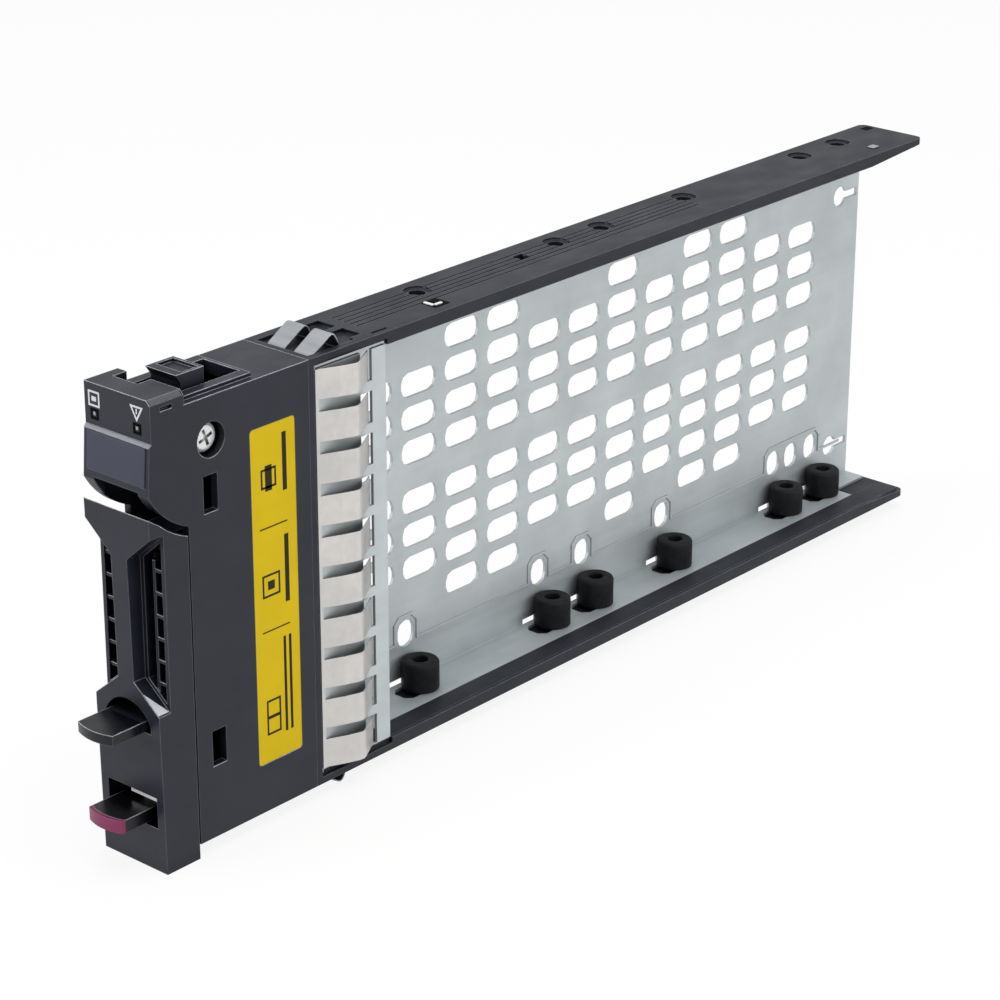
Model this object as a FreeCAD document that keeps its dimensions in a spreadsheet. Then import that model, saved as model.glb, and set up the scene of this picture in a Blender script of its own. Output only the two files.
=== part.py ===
import FreeCAD, Part
import math
import os
import re

import Sketcher

# Hot swap drive caddy: a tall, narrow carrier for one 2.5 inch drive.
# Frame: +X is the open side of the caddy, +Y runs to the rear, +Z is up.
# Lengths are millimetres.  The sheet measures depth from the front face of the
# lever; every piece is then moved forward by half the foot, so that the origin
# is the middle of the foot that the caddy stands on.

SIZES = [
    # overall
    ("caddy_width", 15.5, "thickness of the caddy across X"),
    ("caddy_length", 218.0, "front face to rear end of the rails"),
    ("rail_bottom", 2.65, "height of the lower rail above the foot"),
    ("rail_span", 80.0, "height over both rails"),
    ("housing_rear", 36.3, "depth of the front housing"),
    ("plastic_wall", 1.5, "wall of the housing"),
    ("foot_depth", 7.6, "depth of the lever and its foot"),
    ("seam_gap", 0.3, "gap between lever and housing"),
    # pivot of the lever
    ("pivot_depth", 13.5, "pivot behind the front face"),
    ("pivot_height", 75.0, "pivot above the foot"),
    ("housing_sweep", 16.1, "radius of the housing's rounded underside"),
    ("sweep_rise", 1.5, "centre of that underside above the pivot"),
    ("sweep_gap", 1.6, "gap between that underside and the lever"),
    ("screw_radius", 1.5, "shank of the pivot screw"),
    ("screw_head_radius", 2.35, "head of the pivot screw"),
    ("screw_head_height", 1.2, "height of the screw head"),
    ("screw_recess", 2.0, "depth of the head below the housing's side"),
    ("counterbore_radius", 3.1, "round recess over the screw head"),
    ("boss_wall", 0.9, "plastic round and under the counterbore"),
    ("running_gap", 0.05, "radial play of hub on screw and latch on pin"),
    # head of the housing
    ("head_height", 85.2, "top of the indicator head"),
    ("head_depth", 7.8, "depth of the indicator head"),
    ("head_wall", 1.6, "front wall of the head"),
    ("head_bevel", 0.8, "bevel along the head's upper edge"),
    ("head_bow", 0.65, "head leans forward at its lower edge"),
    ("lever_bow", 0.9, "lever leans forward at its top"),
    ("lever_high", 65.1, "front upper edge of the lever"),
    ("lever_turn", 1.5, "depth where the lever's hollow top runs out straight"),
    ("face_step", 0.4, "indicator face set back from the name plate"),
    ("ledge_height", 77.4, "lower edge of the ledge under the indicators"),
    ("head_notch_height", 69.2, "top of the notch the lever arm swings in"),
    ("head_notch_half", 5.3, "half width of that notch"),
    ("lamp_size", 1.3, "square light window"),
    ("lamp_offset", 5.05, "light windows either side of the middle"),
    ("lamp_shift", -0.4, "both windows off the middle"),
    ("lamp_height", 79.2, "underside of the light windows"),
    ("lamp_depth", 3.4, "length of a light pipe"),
    ("plate_half", 6.9, "half width of the name plate"),
    ("plate_bottom", 70.4, "lower edge of the name plate"),
    ("plate_tall", 6.7, "height of the name plate"),
    ("plate_sunk", 0.45, "name plate below the face"),
    ("plate_proud", 0.15, "name plate above the face"),
    ("side_slot_height", 82.9, "underside of the grip slot at the head's side"),
    ("side_slot_tall", 0.7, "height of the grip slot"),
    ("side_slot_sunk", 0.6, "depth of the grip slot"),
    ("notch_left", -5.6, "notch in the head for a finger, left side"),
    ("notch_right", 0.2, "right side of that notch"),
    ("notch_front", 4.8, "front of that notch"),
    # opening for the hook
    ("hatch_half", 4.3, "half width of the opening in the top"),
    ("hatch_front", 6.6, "front edge of the opening"),
    ("hatch_rear", 23.6, "rear edge of the opening"),
    ("collar_margin", 2.0, "collar beside the opening"),
    ("collar_rear", 0.7, "collar behind the opening"),
    ("collar_height", 0.75, "collar above the housing's top"),
    ("arm_window_bottom", 54.5, "sill of the opening the lever arm passes"),
    # side of the housing
    ("snap_depth", 11.4, "front edge of the snap windows"),
    ("snap_length", 3.2, "length of a snap window"),
    ("snap_tall", 6.6, "height of a snap window"),
    ("upper_snap_height", 62.4, "underside of the upper snap window"),
    ("lower_snap_height", 16.1, "underside of the lower snap window"),
    ("label_front", 22.2, "front edge of the label"),
    ("label_length", 10.5, "length of the label along Y"),
    ("label_bottom", 11.9, "lower edge of the label"),
    ("label_tall", 62.0, "height of the label"),
    ("label_corner", 0.7, "corner radius of the label"),
    ("label_sunk", 0.2, "label recess"),
    ("label_thick", 0.15, "thickness of the label"),
    # lever
    ("lever_skin", 4.4, "depth of solid lever in front of its hollow back"),
    ("lever_wall", 1.2, "side walls of the lever"),
    ("hollow_bottom", 16.5, "lower end of the lever's hollow back"),
    ("hollow_top", 57.5, "upper end of the lever's hollow back"),
    ("spine_half", 1.9, "half width of the lever's spine"),
    ("recess_depth", 2.2, "side recesses behind the spine's face"),
    ("recess_top_out", 61.6, "upper end of a recess at the side"),
    ("recess_top_in", 56.6, "upper end of a recess at the spine"),
    ("recess_bottom_in", 34.4, "lower end of a recess at the spine"),
    ("recess_bottom_out", 29.6, "lower end of a recess at the side"),
    ("vent_wall", 0.8, "rim beside the vents"),
    ("rung_first", 33.9, "lowest rung of the vents"),
    ("rung_pitch", 4.09, "pitch of the rungs"),
    ("rung_count", 6, "rungs in each vent"),
    ("rung_thick", 0.6, "thickness of a rung"),
    ("ladder_inner", 4.5, "inner rail of the rungs from the middle"),
    ("dish_half", 5.5, "half width of the thumb hollow over the tab"),
    ("dish_depth", 3.2, "depth of the thumb hollow"),
    ("dish_spring", 27.2, "where the hollow's arch springs"),
    ("dish_rise", 3.6, "rise of that arch"),
    ("tab_half", 4.25, "half width of the finger tab"),
    ("tab_reach", 7.7, "finger tab in front of the lever"),
    ("tab_bulge", 0.9, "curve of the tab's front edge"),
    ("tab_top", 27.9, "upper face of the finger tab"),
    ("tab_thick", 1.9, "thickness of the finger tab"),
    ("latch_window_half", 6.0, "half width of the latch window"),
    ("latch_window_bottom", 8.2, "sill of the latch window"),
    ("latch_window_top", 14.0, "head of the latch window"),
    ("arm_half", 3.35, "half width of the lever arm, its hub and its hook"),
    ("arm_front", 12.0, "front edge of the lever arm"),
    ("arm_rear", 15.8, "rear edge of the lever arm"),
    ("arm_root_bottom", 55.4, "underside of the arm's root"),
    ("arm_root_top", 59.0, "top of the arm's root"),
    ("hub_radius", 3.6, "hub of the lever"),
    ("hook_height", 86.0, "top of the hook"),
    ("hook_tip", 10.0, "front tip of the hook"),
    ("hook_rear", 16.3, "rear edge of the hook"),
    ("hook_waist", 11.2, "depth of the hook's hollow front"),
    ("hook_half", 3.6, "half width of the hook"),
    ("hook_lip", 1.9, "lip in front of the hollow in the hook's top"),
    ("hook_rim", 0.6, "rim round that hollow"),
    # latch
    ("latch_half", 4.1, "half width of the release tab"),
    ("latch_reach", 6.4, "release tab in front of the lever"),
    ("latch_bulge", 0.9, "curve of the release tab's front"),
    ("latch_bottom", 9.1, "underside of the release tab"),
    ("latch_thick", 2.35, "thickness of the release tab"),
    ("cap_thick", 0.7, "coloured cap on the release tab"),
    ("latch_pin_depth", 4.9, "latch pin behind the front face"),
    ("latch_pin_height", 10.1, "latch pin above the foot"),
    ("latch_pin_radius", 0.8, "latch pin"),
    ("latch_hub_radius", 1.7, "hub of the latch"),
    ("latch_hub_half", 5.6, "half width of the latch hub"),
    ("pin_half", 6.9, "half length of the latch pin"),
    ("barb_half", 2.6, "half width of the latch arm"),
    ("barb_bottom", 7.7, "underside of the latch arm"),
    ("barb_neck", 9.2, "top of the latch arm"),
    ("barb_top", 9.9, "top of the barb"),
    ("barb_gap", 0.25, "barb behind the keeper wall"),
    ("barb_length", 1.2, "length of the barb"),
    ("keeper_half", 3.2, "half width of the keeper opening"),
    ("keeper_bottom", 6.0, "sill of the keeper opening"),
    ("keeper_top", 10.2, "head of the keeper opening"),
    ("leaf_left", -1.6, "left edge of the latch spring"),
    ("leaf_right", 5.7, "right edge of the latch spring"),
    ("leaf_lip", 0.9, "lip folded down at the front of the latch spring"),
    ("leaf_thick", 0.35, "thickness of the latch spring"),
    # rails
    ("closure_thick", 1.3, "plate between housing and drive bay"),
    ("plug_length", 3.0, "plug of that plate in the housing"),
    ("plug_wall", 1.0, "wall of the plug"),
    ("plug_fit", 0.05, "play of the plug"),
    ("rail_thin", 1.3, "rail under the steel flange"),
    ("rail_lip", 2.4, "lip along the outer edge of a rail"),
    ("lip_width", 0.85, "width of that lip"),
    ("rail_taper", 18.0, "length of the lead-in at the rear"),
    ("rail_corner", 1.6, "rounded corner at the rear of a rail"),
    ("flange_gap", 0.1, "play between flange edge and rail"),
    ("ridge_count", 5, "fine grooves along the upper rail"),
    ("ridge_pitch", 1.5, "pitch of those grooves"),
    ("ridge_first", -4.3, "first groove from the middle"),
    ("ridge_front", 54.0, "front end of the grooves"),
    ("ridge_rear", 150.0, "rear end of the grooves"),
    ("ridge_width", 0.5, "width of a groove"),
    ("ridge_sunk", 0.25, "depth of a groove"),
    ("screw_dimple_radius", 2.5, "countersunk dimple over each drive screw"),
    ("screw_dimple_sunk", 0.5, "depth of the dimple"),
    ("screw_hole_radius", 1.6, "drive screw clearance hole"),
    ("pocket_front", 49.0, "front of the pockets behind the top fingers"),
    ("pocket_length", 2.8, "length of those pockets"),
    ("finger_bed_sunk", 0.8, "bed of the top and bottom spring strips"),
    ("locator_depth", 102.1, "locating hole in the upper rail"),
    ("locator_size", 2.6, "size of the locating hole"),
    # tray
    ("steel", 0.6, "sheet of the tray"),
    ("panel_inset", 0.05, "panel inside the caddy's side"),
    ("bend_radius", 0.1, "inside radius of the folds"),
    ("flange_edge", 2.0, "free edge of the flanges"),
    ("panel_rear_gap", 1.0, "panel short of the rails' rear end"),
    ("flange_rear_gap", 11.5, "flange short of the rails' rear end"),
    ("tongue_edge", -2.4, "edge of the rear tongue of a flange"),
    ("return_edge", 7.3, "outer face of the front return"),
    ("return_rear", 55.5, "rear edge of the front return"),
    ("return_margin", 0.5, "front return short of the flanges"),
    ("vent_first", 67.6, "first column of ventilation slots"),
    ("vent_pitch", 11.77, "pitch of the columns"),
    ("vent_columns", 12, "columns of slots"),
    ("vent_row_top", 63.3, "upper row that every column has"),
    ("vent_row_pitch", 6.58, "pitch of the rows"),
    ("vent_group_drop", 23.0, "upper group to lower group"),
    ("vent_length", 9.3, "length of a slot"),
    ("vent_tall", 4.7, "height of a slot"),
    ("port_height", 14.4, "row of upright slots over the bumpers"),
    ("port_tall", 5.3, "height of an upright slot"),
    ("port_wide", 4.3, "width of an upright slot"),
    ("relief_ahead", 4.6, "front end of the relief in the fold ahead of a bumper"),
    ("relief_end", 0.8, "rear end of that relief"),
    ("relief_low", 0.2, "relief above the flange's underside"),
    ("relief_tall", 1.5, "height of the relief"),
    ("seat_half", 2.4, "half width of the slot a bumper is pushed in from"),
    ("seat_ahead", 5.7, "front end of that slot"),
    ("seat_corner", 1.2, "corner of that slot"),
    ("emboss_line", 13.0, "embossed ridge along the panel"),
    ("emboss_top", 18.3, "crown of the ridge over an upright slot"),
    ("emboss_reach", 3.3, "ridge beside an upright slot"),
    ("emboss_corner", 1.4, "corners of the crown"),
    ("emboss_wide", 0.5, "width of the ridge"),
    ("emboss_proud", 0.25, "ridge above the sheet"),
    ("keyhole_depth", 210.3, "keyholes at the rear of the panel"),
    ("keyhole_radius", 2.15, "round end of a keyhole"),
    ("keyhole_tail", 6.0, "reach of a keyhole's slot"),
    ("keyhole_slot", 1.6, "width of a keyhole's slot"),
    ("keyhole_low", 12.4, "lower keyhole"),
    ("keyhole_high", 68.6, "upper keyhole"),
    # spring fingers
    ("strip_thick", 0.2, "spring steel"),
    ("finger_pitch", 7.71, "pitch of the side fingers"),
    ("finger_first", 8.1, "middle of the lowest side finger"),
    ("finger_count", 10, "side fingers"),
    ("finger_tall", 5.45, "width of a side finger"),
    ("finger_front", 38.1, "front edge of the side fingers"),
    ("tip_margin", 0.2, "slots larger than the finger tips"),
    ("finger_base", 0.8, "flat foot of a finger before its arch"),
    ("finger_tip", 51.2, "tip of the side fingers"),
    ("finger_proud", 2.7, "side fingers outside their base"),
    ("finger_slot_front", 49.2, "slots that take the finger tips"),
    ("finger_slot_length", 2.9, "length of those slots"),
    ("finger_dip", 0.3, "finger tips inside the sheet"),
    ("finger_knee", 45.7, "highest point of a side finger"),
    ("top_finger_wide", 4.5, "width of a top finger"),
    ("top_finger_pitch", 5.9, "pitch of the top fingers"),
    ("top_finger_rise", 1.7, "arch of a top finger above the rail"),
    ("top_finger_end", 49.6, "rear end of the top fingers"),
    # bumpers
    ("bumper_radius", 3.6, "rubber bumper"),
    ("bumper_tall", 5.75, "free height of a bumper"),
    ("drive_screw_pitch", 76.6, "drive's side screws along its length"),
    ("drive_first", 75.2, "first bumper, shortest drive position"),
    ("drive_step_one", 38.1, "second drive position"),
    ("drive_step_two", 51.3, "third drive position"),
]

# Sizes that follow from the sheet.  Each name stands for the text beside it.
DERIVED = {
    "half_width": "(caddy_width / 2)",
    "rail_top": "(rail_bottom + rail_span)",
    "wall_front": "(foot_depth + seam_gap)",
    "inner_half": "(half_width - plastic_wall)",
    "lever_sweep": "(housing_sweep + sweep_gap)",
    "counterbore_floor": "(half_width - screw_recess - screw_head_height)",
    "bay_front": "(housing_rear + closure_thick)",
    "flange_bottom": "(rail_bottom + rail_thin)",
    "flange_top": "(rail_top - rail_thin)",
    "panel_outer": "(panel_inset - half_width)",
    "panel_inner": "(panel_outer + steel)",
    "panel_rear": "(caddy_length - panel_rear_gap)",
    "flange_rear": "(caddy_length - flange_rear_gap)",
    "bumper_line": "(panel_inner + bend_radius + bumper_radius)",
    "sweep_height": "(pivot_height + sweep_rise)",
    "head_low": "(sweep_height - sqrt(housing_sweep ^ 2 - (pivot_depth + head_bow) ^ 2))",
    "plug_side": "(inner_half - plug_fit)",
}

doc = FreeCAD.newDocument("drive_caddy")
sheet = doc.addObject("Spreadsheet::Sheet", "Dims")
for row, (alias, amount, meaning) in enumerate(SIZES, start=1):
    sheet.set(f"A{row}", meaning)
    sheet.set(f"B{row}", str(amount))
    sheet.setAlias(f"B{row}", alias)
doc.recompute()

WORD = re.compile(r"[a-z][a-z_]*")
ALIASES = {alias for alias, amount, meaning in SIZES}


def bound(text):
    """Write a size in words as an expression on the sheet."""
    def swap(match):
        word = match.group(0)
        if word in DERIVED:
            return bound(DERIVED[word])
        return f"Dims.{word}" if word in ALIASES else word
    return WORD.sub(swap, str(text))


def amount_of(text):
    """The present value of a size given in words."""
    return float(sheet.evalExpression(bound(text)))


# --- outlines -------------------------------------------------------------
# An outline is a list of corners (u, v), walked anticlockwise.  An arc between
# two corners is written Arc(centre_u, centre_v, hold, turn): hold names the
# centre coordinate that is constrained, turn is +1 anticlockwise, -1 clockwise.

class Arc:
    """A round stretch between two corners of an outline."""

    def __init__(self, centre_u, centre_v, hold="u", turn=1):
        self.centre = (centre_u, centre_v)
        self.hold = hold
        self.turn = turn


class Ring:
    """A full circle."""

    def __init__(self, centre_u, centre_v, radius):
        self.centre = (centre_u, centre_v)
        self.radius = radius


def box(u_low, u_high, v_low, v_high):
    """A rectangle."""
    return [(u_low, v_low), (u_high, v_low), (u_high, v_high), (u_low, v_high)]


def round_box(u_low, u_high, v_low, v_high, radius):
    """A rectangle with rounded corners."""
    left, right = f"({u_low}) + {radius}", f"({u_high}) - {radius}"
    low, high = f"({v_low}) + {radius}", f"({v_high}) - {radius}"
    return [(left, v_low), (right, v_low), Arc(right, low), (u_high, low),
            (u_high, high), Arc(right, high), (right, v_high),
            (left, v_high), Arc(left, high), (u_low, high),
            (u_low, low), Arc(left, low)]


def flat_slot(u_mid, v_mid, length, tall, corner):
    """A slot whose rounded corners are drawn with two flats each, to stay light."""
    points = []
    for quarter, (side_u, side_v) in enumerate(((1, -1), (1, 1), (-1, 1), (-1, -1))):
        for step in range(3):
            turn = math.radians(90 * quarter - 90 + 45 * step)
            points.append((
                f"({u_mid}) + {side_u} * (({length}) / 2 - {corner}) + {corner} * {math.cos(turn):.6f}",
                f"({v_mid}) + {side_v} * (({tall}) / 2 - {corner}) + {corner} * {math.sin(turn):.6f}"))
    return points


def keyhole(u_mid, v_mid, radius, tail, slot):
    """A round hole with a narrow slot along +u."""
    shoulder = f"({u_mid}) + sqrt(({radius}) ^ 2 - ({slot}) ^ 2 / 4)"
    end = f"({u_mid}) + ({tail})"
    low, high = f"({v_mid}) - ({slot}) / 2", f"({v_mid}) + ({slot}) / 2"
    return [(shoulder, low), (end, low), (end, high), (shoulder, high), Arc(u_mid, v_mid)]


def add_ring(sketch, ring, laws):
    """Draw a full circle with its place and radius bound to the sheet."""
    centre = FreeCAD.Vector(amount_of(ring.centre[0]), amount_of(ring.centre[1]), 0)
    radius = amount_of(ring.radius)
    edge = sketch.addGeometry(Part.Circle(centre, FreeCAD.Vector(0, 0, 1), radius))
    laws.append((Sketcher.Constraint("DistanceX", -1, 1, edge, 3, centre.x), ring.centre[0]))
    laws.append((Sketcher.Constraint("DistanceY", -1, 1, edge, 3, centre.y), ring.centre[1]))
    laws.append((Sketcher.Constraint("Radius", edge, radius), ring.radius))


def add_outline(sketch, outline, laws):
    """Draw a closed outline with every corner bound to the sheet."""
    corners = [item for item in outline if not isinstance(item, Arc)]
    arcs = {}
    count = -1
    for item in outline:
        if isinstance(item, Arc):
            arcs[count] = item
        else:
            count += 1
    spots = [FreeCAD.Vector(amount_of(u), amount_of(v), 0) for u, v in corners]
    starts, ends = [], []
    for index, start in enumerate(spots):
        finish = spots[(index + 1) % len(spots)]
        arc = arcs.get(index)
        if arc is None:
            edge = sketch.addGeometry(Part.LineSegment(start, finish))
            starts.append((edge, 1))
            ends.append((edge, 2))
            continue
        centre = FreeCAD.Vector(amount_of(arc.centre[0]), amount_of(arc.centre[1]), 0)
        first, last = (start, finish) if arc.turn > 0 else (finish, start)
        angles = [math.atan2(spot.y - centre.y, spot.x - centre.x) for spot in (first, last)]
        if angles[1] <= angles[0]:
            angles[1] += 2 * math.pi
        circle = Part.Circle(centre, FreeCAD.Vector(0, 0, 1), (start - centre).Length)
        edge = sketch.addGeometry(Part.ArcOfCircle(circle, *angles))
        starts.append((edge, 1 if arc.turn > 0 else 2))
        ends.append((edge, 2 if arc.turn > 0 else 1))
        kind, place, law = ("DistanceX", centre.x, arc.centre[0])
        if arc.hold == "v":
            kind, place, law = ("DistanceY", centre.y, arc.centre[1])
        laws.append((Sketcher.Constraint(kind, -1, 1, edge, 3, place), law))
    for index, (edge, end) in enumerate(starts):
        before, before_end = ends[index - 1]
        sketch.addConstraint(Sketcher.Constraint("Coincident", before, before_end, edge, end))
        spot = spots[index]
        laws.append((Sketcher.Constraint("DistanceX", -1, 1, edge, end, spot.x), corners[index][0]))
        laws.append((Sketcher.Constraint("DistanceY", -1, 1, edge, end, spot.y), corners[index][1]))


# --- bodies ---------------------------------------------------------------

def new_body(label):
    """A body that is moved forward by half the foot, so the origin is in the foot."""
    body = doc.addObject("PartDesign::Body", label)
    body.Label = label
    body.setExpression("Placement.Base.y", bound("-foot_depth / 2"))
    return body


def origin_item(body, role):
    """One plane or axis of a body's origin."""
    return [item for item in body.Origin.OriginFeatures if item.Role == role][0]


def draw(body, plane, outlines, offset):
    """A sketch on a plane of the body, moved along that plane's normal."""
    sketch = body.newObject("Sketcher::SketchObject", f"{body.Label}_sketch")
    sketch.AttachmentSupport = [(origin_item(body, f"{plane}_Plane"), "")]
    sketch.MapMode = "FlatFace"
    sketch.setExpression("AttachmentOffset.Base.z", bound(offset))
    laws = []
    for outline in outlines:
        if isinstance(outline, Ring):
            add_ring(sketch, outline, laws)
        else:
            add_outline(sketch, outline, laws)
    first = sketch.ConstraintCount
    sketch.addConstraint([law for law, text in laws])
    for index, (law, text) in enumerate(laws, start=first):
        sketch.setExpression(f"Constraints[{index}]", bound(text))
    return sketch


def feature(body, kind, sketch, length):
    """A pad or pocket of a sketch."""
    item = body.newObject(f"PartDesign::{kind}", f"{body.Label}_{kind.lower()}")
    item.Profile = sketch
    item.setExpression("Length", bound(length))
    body.Tip = item
    return item


def pad(body, plane, outlines, low, high):
    """Add material between two depths along the plane's own axis.

    The normal of the XZ plane points along -Y, so there the sketch lies at the
    high end and grows towards the low one.
    """
    offset = f"-({high})" if plane == "XZ" else low
    return feature(body, "Pad", draw(body, plane, outlines, offset), f"({high}) - ({low})")


def pocket(body, plane, outlines, low, high):
    """Take material away between two depths along the plane's own axis."""
    offset = f"-({low})" if plane == "XZ" else high
    return feature(body, "Pocket", draw(body, plane, outlines, offset), f"({high}) - ({low})")


def repeat(body, item, axis, count, spacing):
    """Repeat a feature along an axis of the body."""
    pattern = body.newObject("PartDesign::LinearPattern", f"{body.Label}_pattern")
    pattern.Originals = [item]
    pattern.Direction = (origin_item(body, f"{axis}_Axis"), [""])
    pattern.setExpression("Length", bound(f"({count} - 1) * {spacing}"))
    pattern.setExpression("Occurrences", bound(count))
    body.Tip = pattern
    return pattern


def plate_outline(proud):
    """Side outline of the name plate, which leans with the head's face."""
    lean = "head_bow / (ledge_height - head_low)"
    top = "plate_bottom + plate_tall"
    low_face = f"-(ledge_height - plate_bottom) * {lean}"
    top_face = f"-(ledge_height - ({top})) * {lean}"
    return [(f"{low_face} - {proud}", "plate_bottom"), (f"{low_face} + plate_sunk", "plate_bottom"),
            (f"{top_face} + plate_sunk", top), (f"{top_face} - {proud}", top)]


def grid(body, item, steps):
    """Repeat a feature along several axes; a step is (axis, count, signed spacing)."""
    whole = body.newObject("PartDesign::MultiTransform", f"{body.Label}_grid")
    rows = []
    for axis, count, spacing in steps:
        row = body.newObject("PartDesign::LinearPattern", f"{body.Label}_row")
        row.Direction = (origin_item(body, f"{axis}_Axis"), [""])
        row.Reversed = amount_of(spacing) < 0
        row.setExpression("Length", bound(f"({count} - 1) * abs({spacing})"))
        row.setExpression("Occurrences", bound(count))
        rows.append(row)
    whole.Originals = [item]
    whole.Transformations = rows
    whole.Refine = False
    body.Tip = whole
    return whole


# --- front housing --------------------------------------------------------

def make_front_housing():
    """The moulded box at the front with the indicator head over the lever."""
    body = new_body("front_housing")
    seam_edge = "sweep_height - sqrt(housing_sweep ^ 2 - (pivot_depth - wall_front) ^ 2)"
    side = [("-head_bow", "head_low"), Arc("pivot_depth", "sweep_height"),
            ("wall_front", seam_edge),
            ("wall_front", "rail_bottom"), ("housing_rear", "rail_bottom"),
            ("housing_rear", "rail_top"), ("head_depth", "rail_top"),
            ("head_depth", "head_height"), ("face_step", "head_height"),
            ("face_step", "ledge_height + face_step"), ("0", "ledge_height")]
    pad(body, "YZ", [side], "-half_width", "half_width")
    collar = box("-hatch_half - collar_margin", "hatch_half + collar_margin",
                 "head_depth", "hatch_rear + collar_rear")
    pad(body, "XY", [collar], "rail_top", "rail_top + collar_height")
    inside = [("head_wall", "arm_window_bottom"), ("wall_front + plastic_wall", "arm_window_bottom"),
              ("wall_front + plastic_wall", "rail_bottom + plastic_wall"),
              ("housing_rear", "rail_bottom + plastic_wall"),
              ("housing_rear", "rail_top - plastic_wall"), ("head_wall", "rail_top - plastic_wall")]
    pocket(body, "YZ", [inside], "-inner_half", "inner_half")
    notch = box("-head_notch_half", "head_notch_half", "arm_window_bottom", "head_notch_height")
    pocket(body, "XZ", [notch], "-head_bow", "head_wall")
    hatch = box("-hatch_half", "hatch_half", "hatch_front", "hatch_rear")
    pocket(body, "XY", [hatch], "rail_top - plastic_wall", "rail_top + collar_height")
    pivot = ("pivot_depth", "pivot_height")
    pad(body, "YZ", [Ring(*pivot, "counterbore_radius + boss_wall")],
        "counterbore_floor - boss_wall", "inner_half")
    pocket(body, "YZ", [Ring(*pivot, "counterbore_radius")], "counterbore_floor", "half_width")
    pocket(body, "YZ", [Ring(*pivot, "screw_radius + running_gap")],
           "counterbore_floor - boss_wall", "counterbore_floor")
    pad(body, "YZ", [Ring(*pivot, "screw_radius * 2")], "-inner_half", "boss_wall - counterbore_floor")
    pocket(body, "YZ", [Ring(*pivot, "screw_radius")], "-inner_half",
           "boss_wall - counterbore_floor")
    for height in ("upper_snap_height", "lower_snap_height"):
        snap = box("snap_depth", "snap_depth + snap_length", height, f"{height} + snap_tall")
        pocket(body, "YZ", [snap], "inner_half", "half_width")
    label = round_box("label_front", "label_front + label_length",
                      "label_bottom", "label_bottom + label_tall", "label_corner")
    pocket(body, "YZ", [label], "half_width - label_sunk", "half_width")
    slot = box("head_depth / 3", "head_depth * 0.66", "side_slot_height",
               "side_slot_height + side_slot_tall")
    pocket(body, "YZ", [slot], "half_width - side_slot_sunk", "half_width")
    lamps = []
    for side_of in (-1, 1):
        middle = f"lamp_shift + {side_of} * lamp_offset"
        lamps.append(box(f"{middle} - lamp_size / 2", f"{middle} + lamp_size / 2",
                         "lamp_height", "lamp_height + lamp_size"))
    pocket(body, "XZ", lamps, "0", "head_wall")
    pocket(body, "YZ", [plate_outline("head_bow")], "-plate_half", "plate_half")
    bevel = [("half_width - head_bevel", "head_height"), ("half_width", "head_height - head_bevel"),
             ("half_width", "head_height")]
    pocket(body, "XZ", [bevel], "0", "head_depth")
    grip = box("notch_left", "notch_right", "notch_front", "head_depth")
    pocket(body, "XY", [grip], "rail_top + collar_height", "head_height")
    keeper = box("-keeper_half", "keeper_half", "keeper_bottom", "keeper_top")
    pocket(body, "XZ", [keeper], "wall_front", "wall_front + plastic_wall")


# --- lever ----------------------------------------------------------------

def recess_outline(side_of, inner, outer, shrink):
    """One side recess of the lever, seen from the front; side_of is -1 or 1."""
    slope_top = "(recess_top_out - recess_top_in) / (half_width - spine_half)"
    slope_bottom = "(recess_bottom_in - recess_bottom_out) / (half_width - spine_half)"
    points = []
    for across, top in ((inner, False), (outer, False), (outer, True), (inner, True)):
        reach = f"(({across}) - spine_half)"
        if top:
            height = f"recess_top_in + {reach} * {slope_top} - ({shrink})"
        else:
            height = f"recess_bottom_in - {reach} * {slope_bottom} + ({shrink})"
        points.append((f"{side_of} * ({across})", height))
    return points if side_of > 0 else points[::-1]


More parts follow.
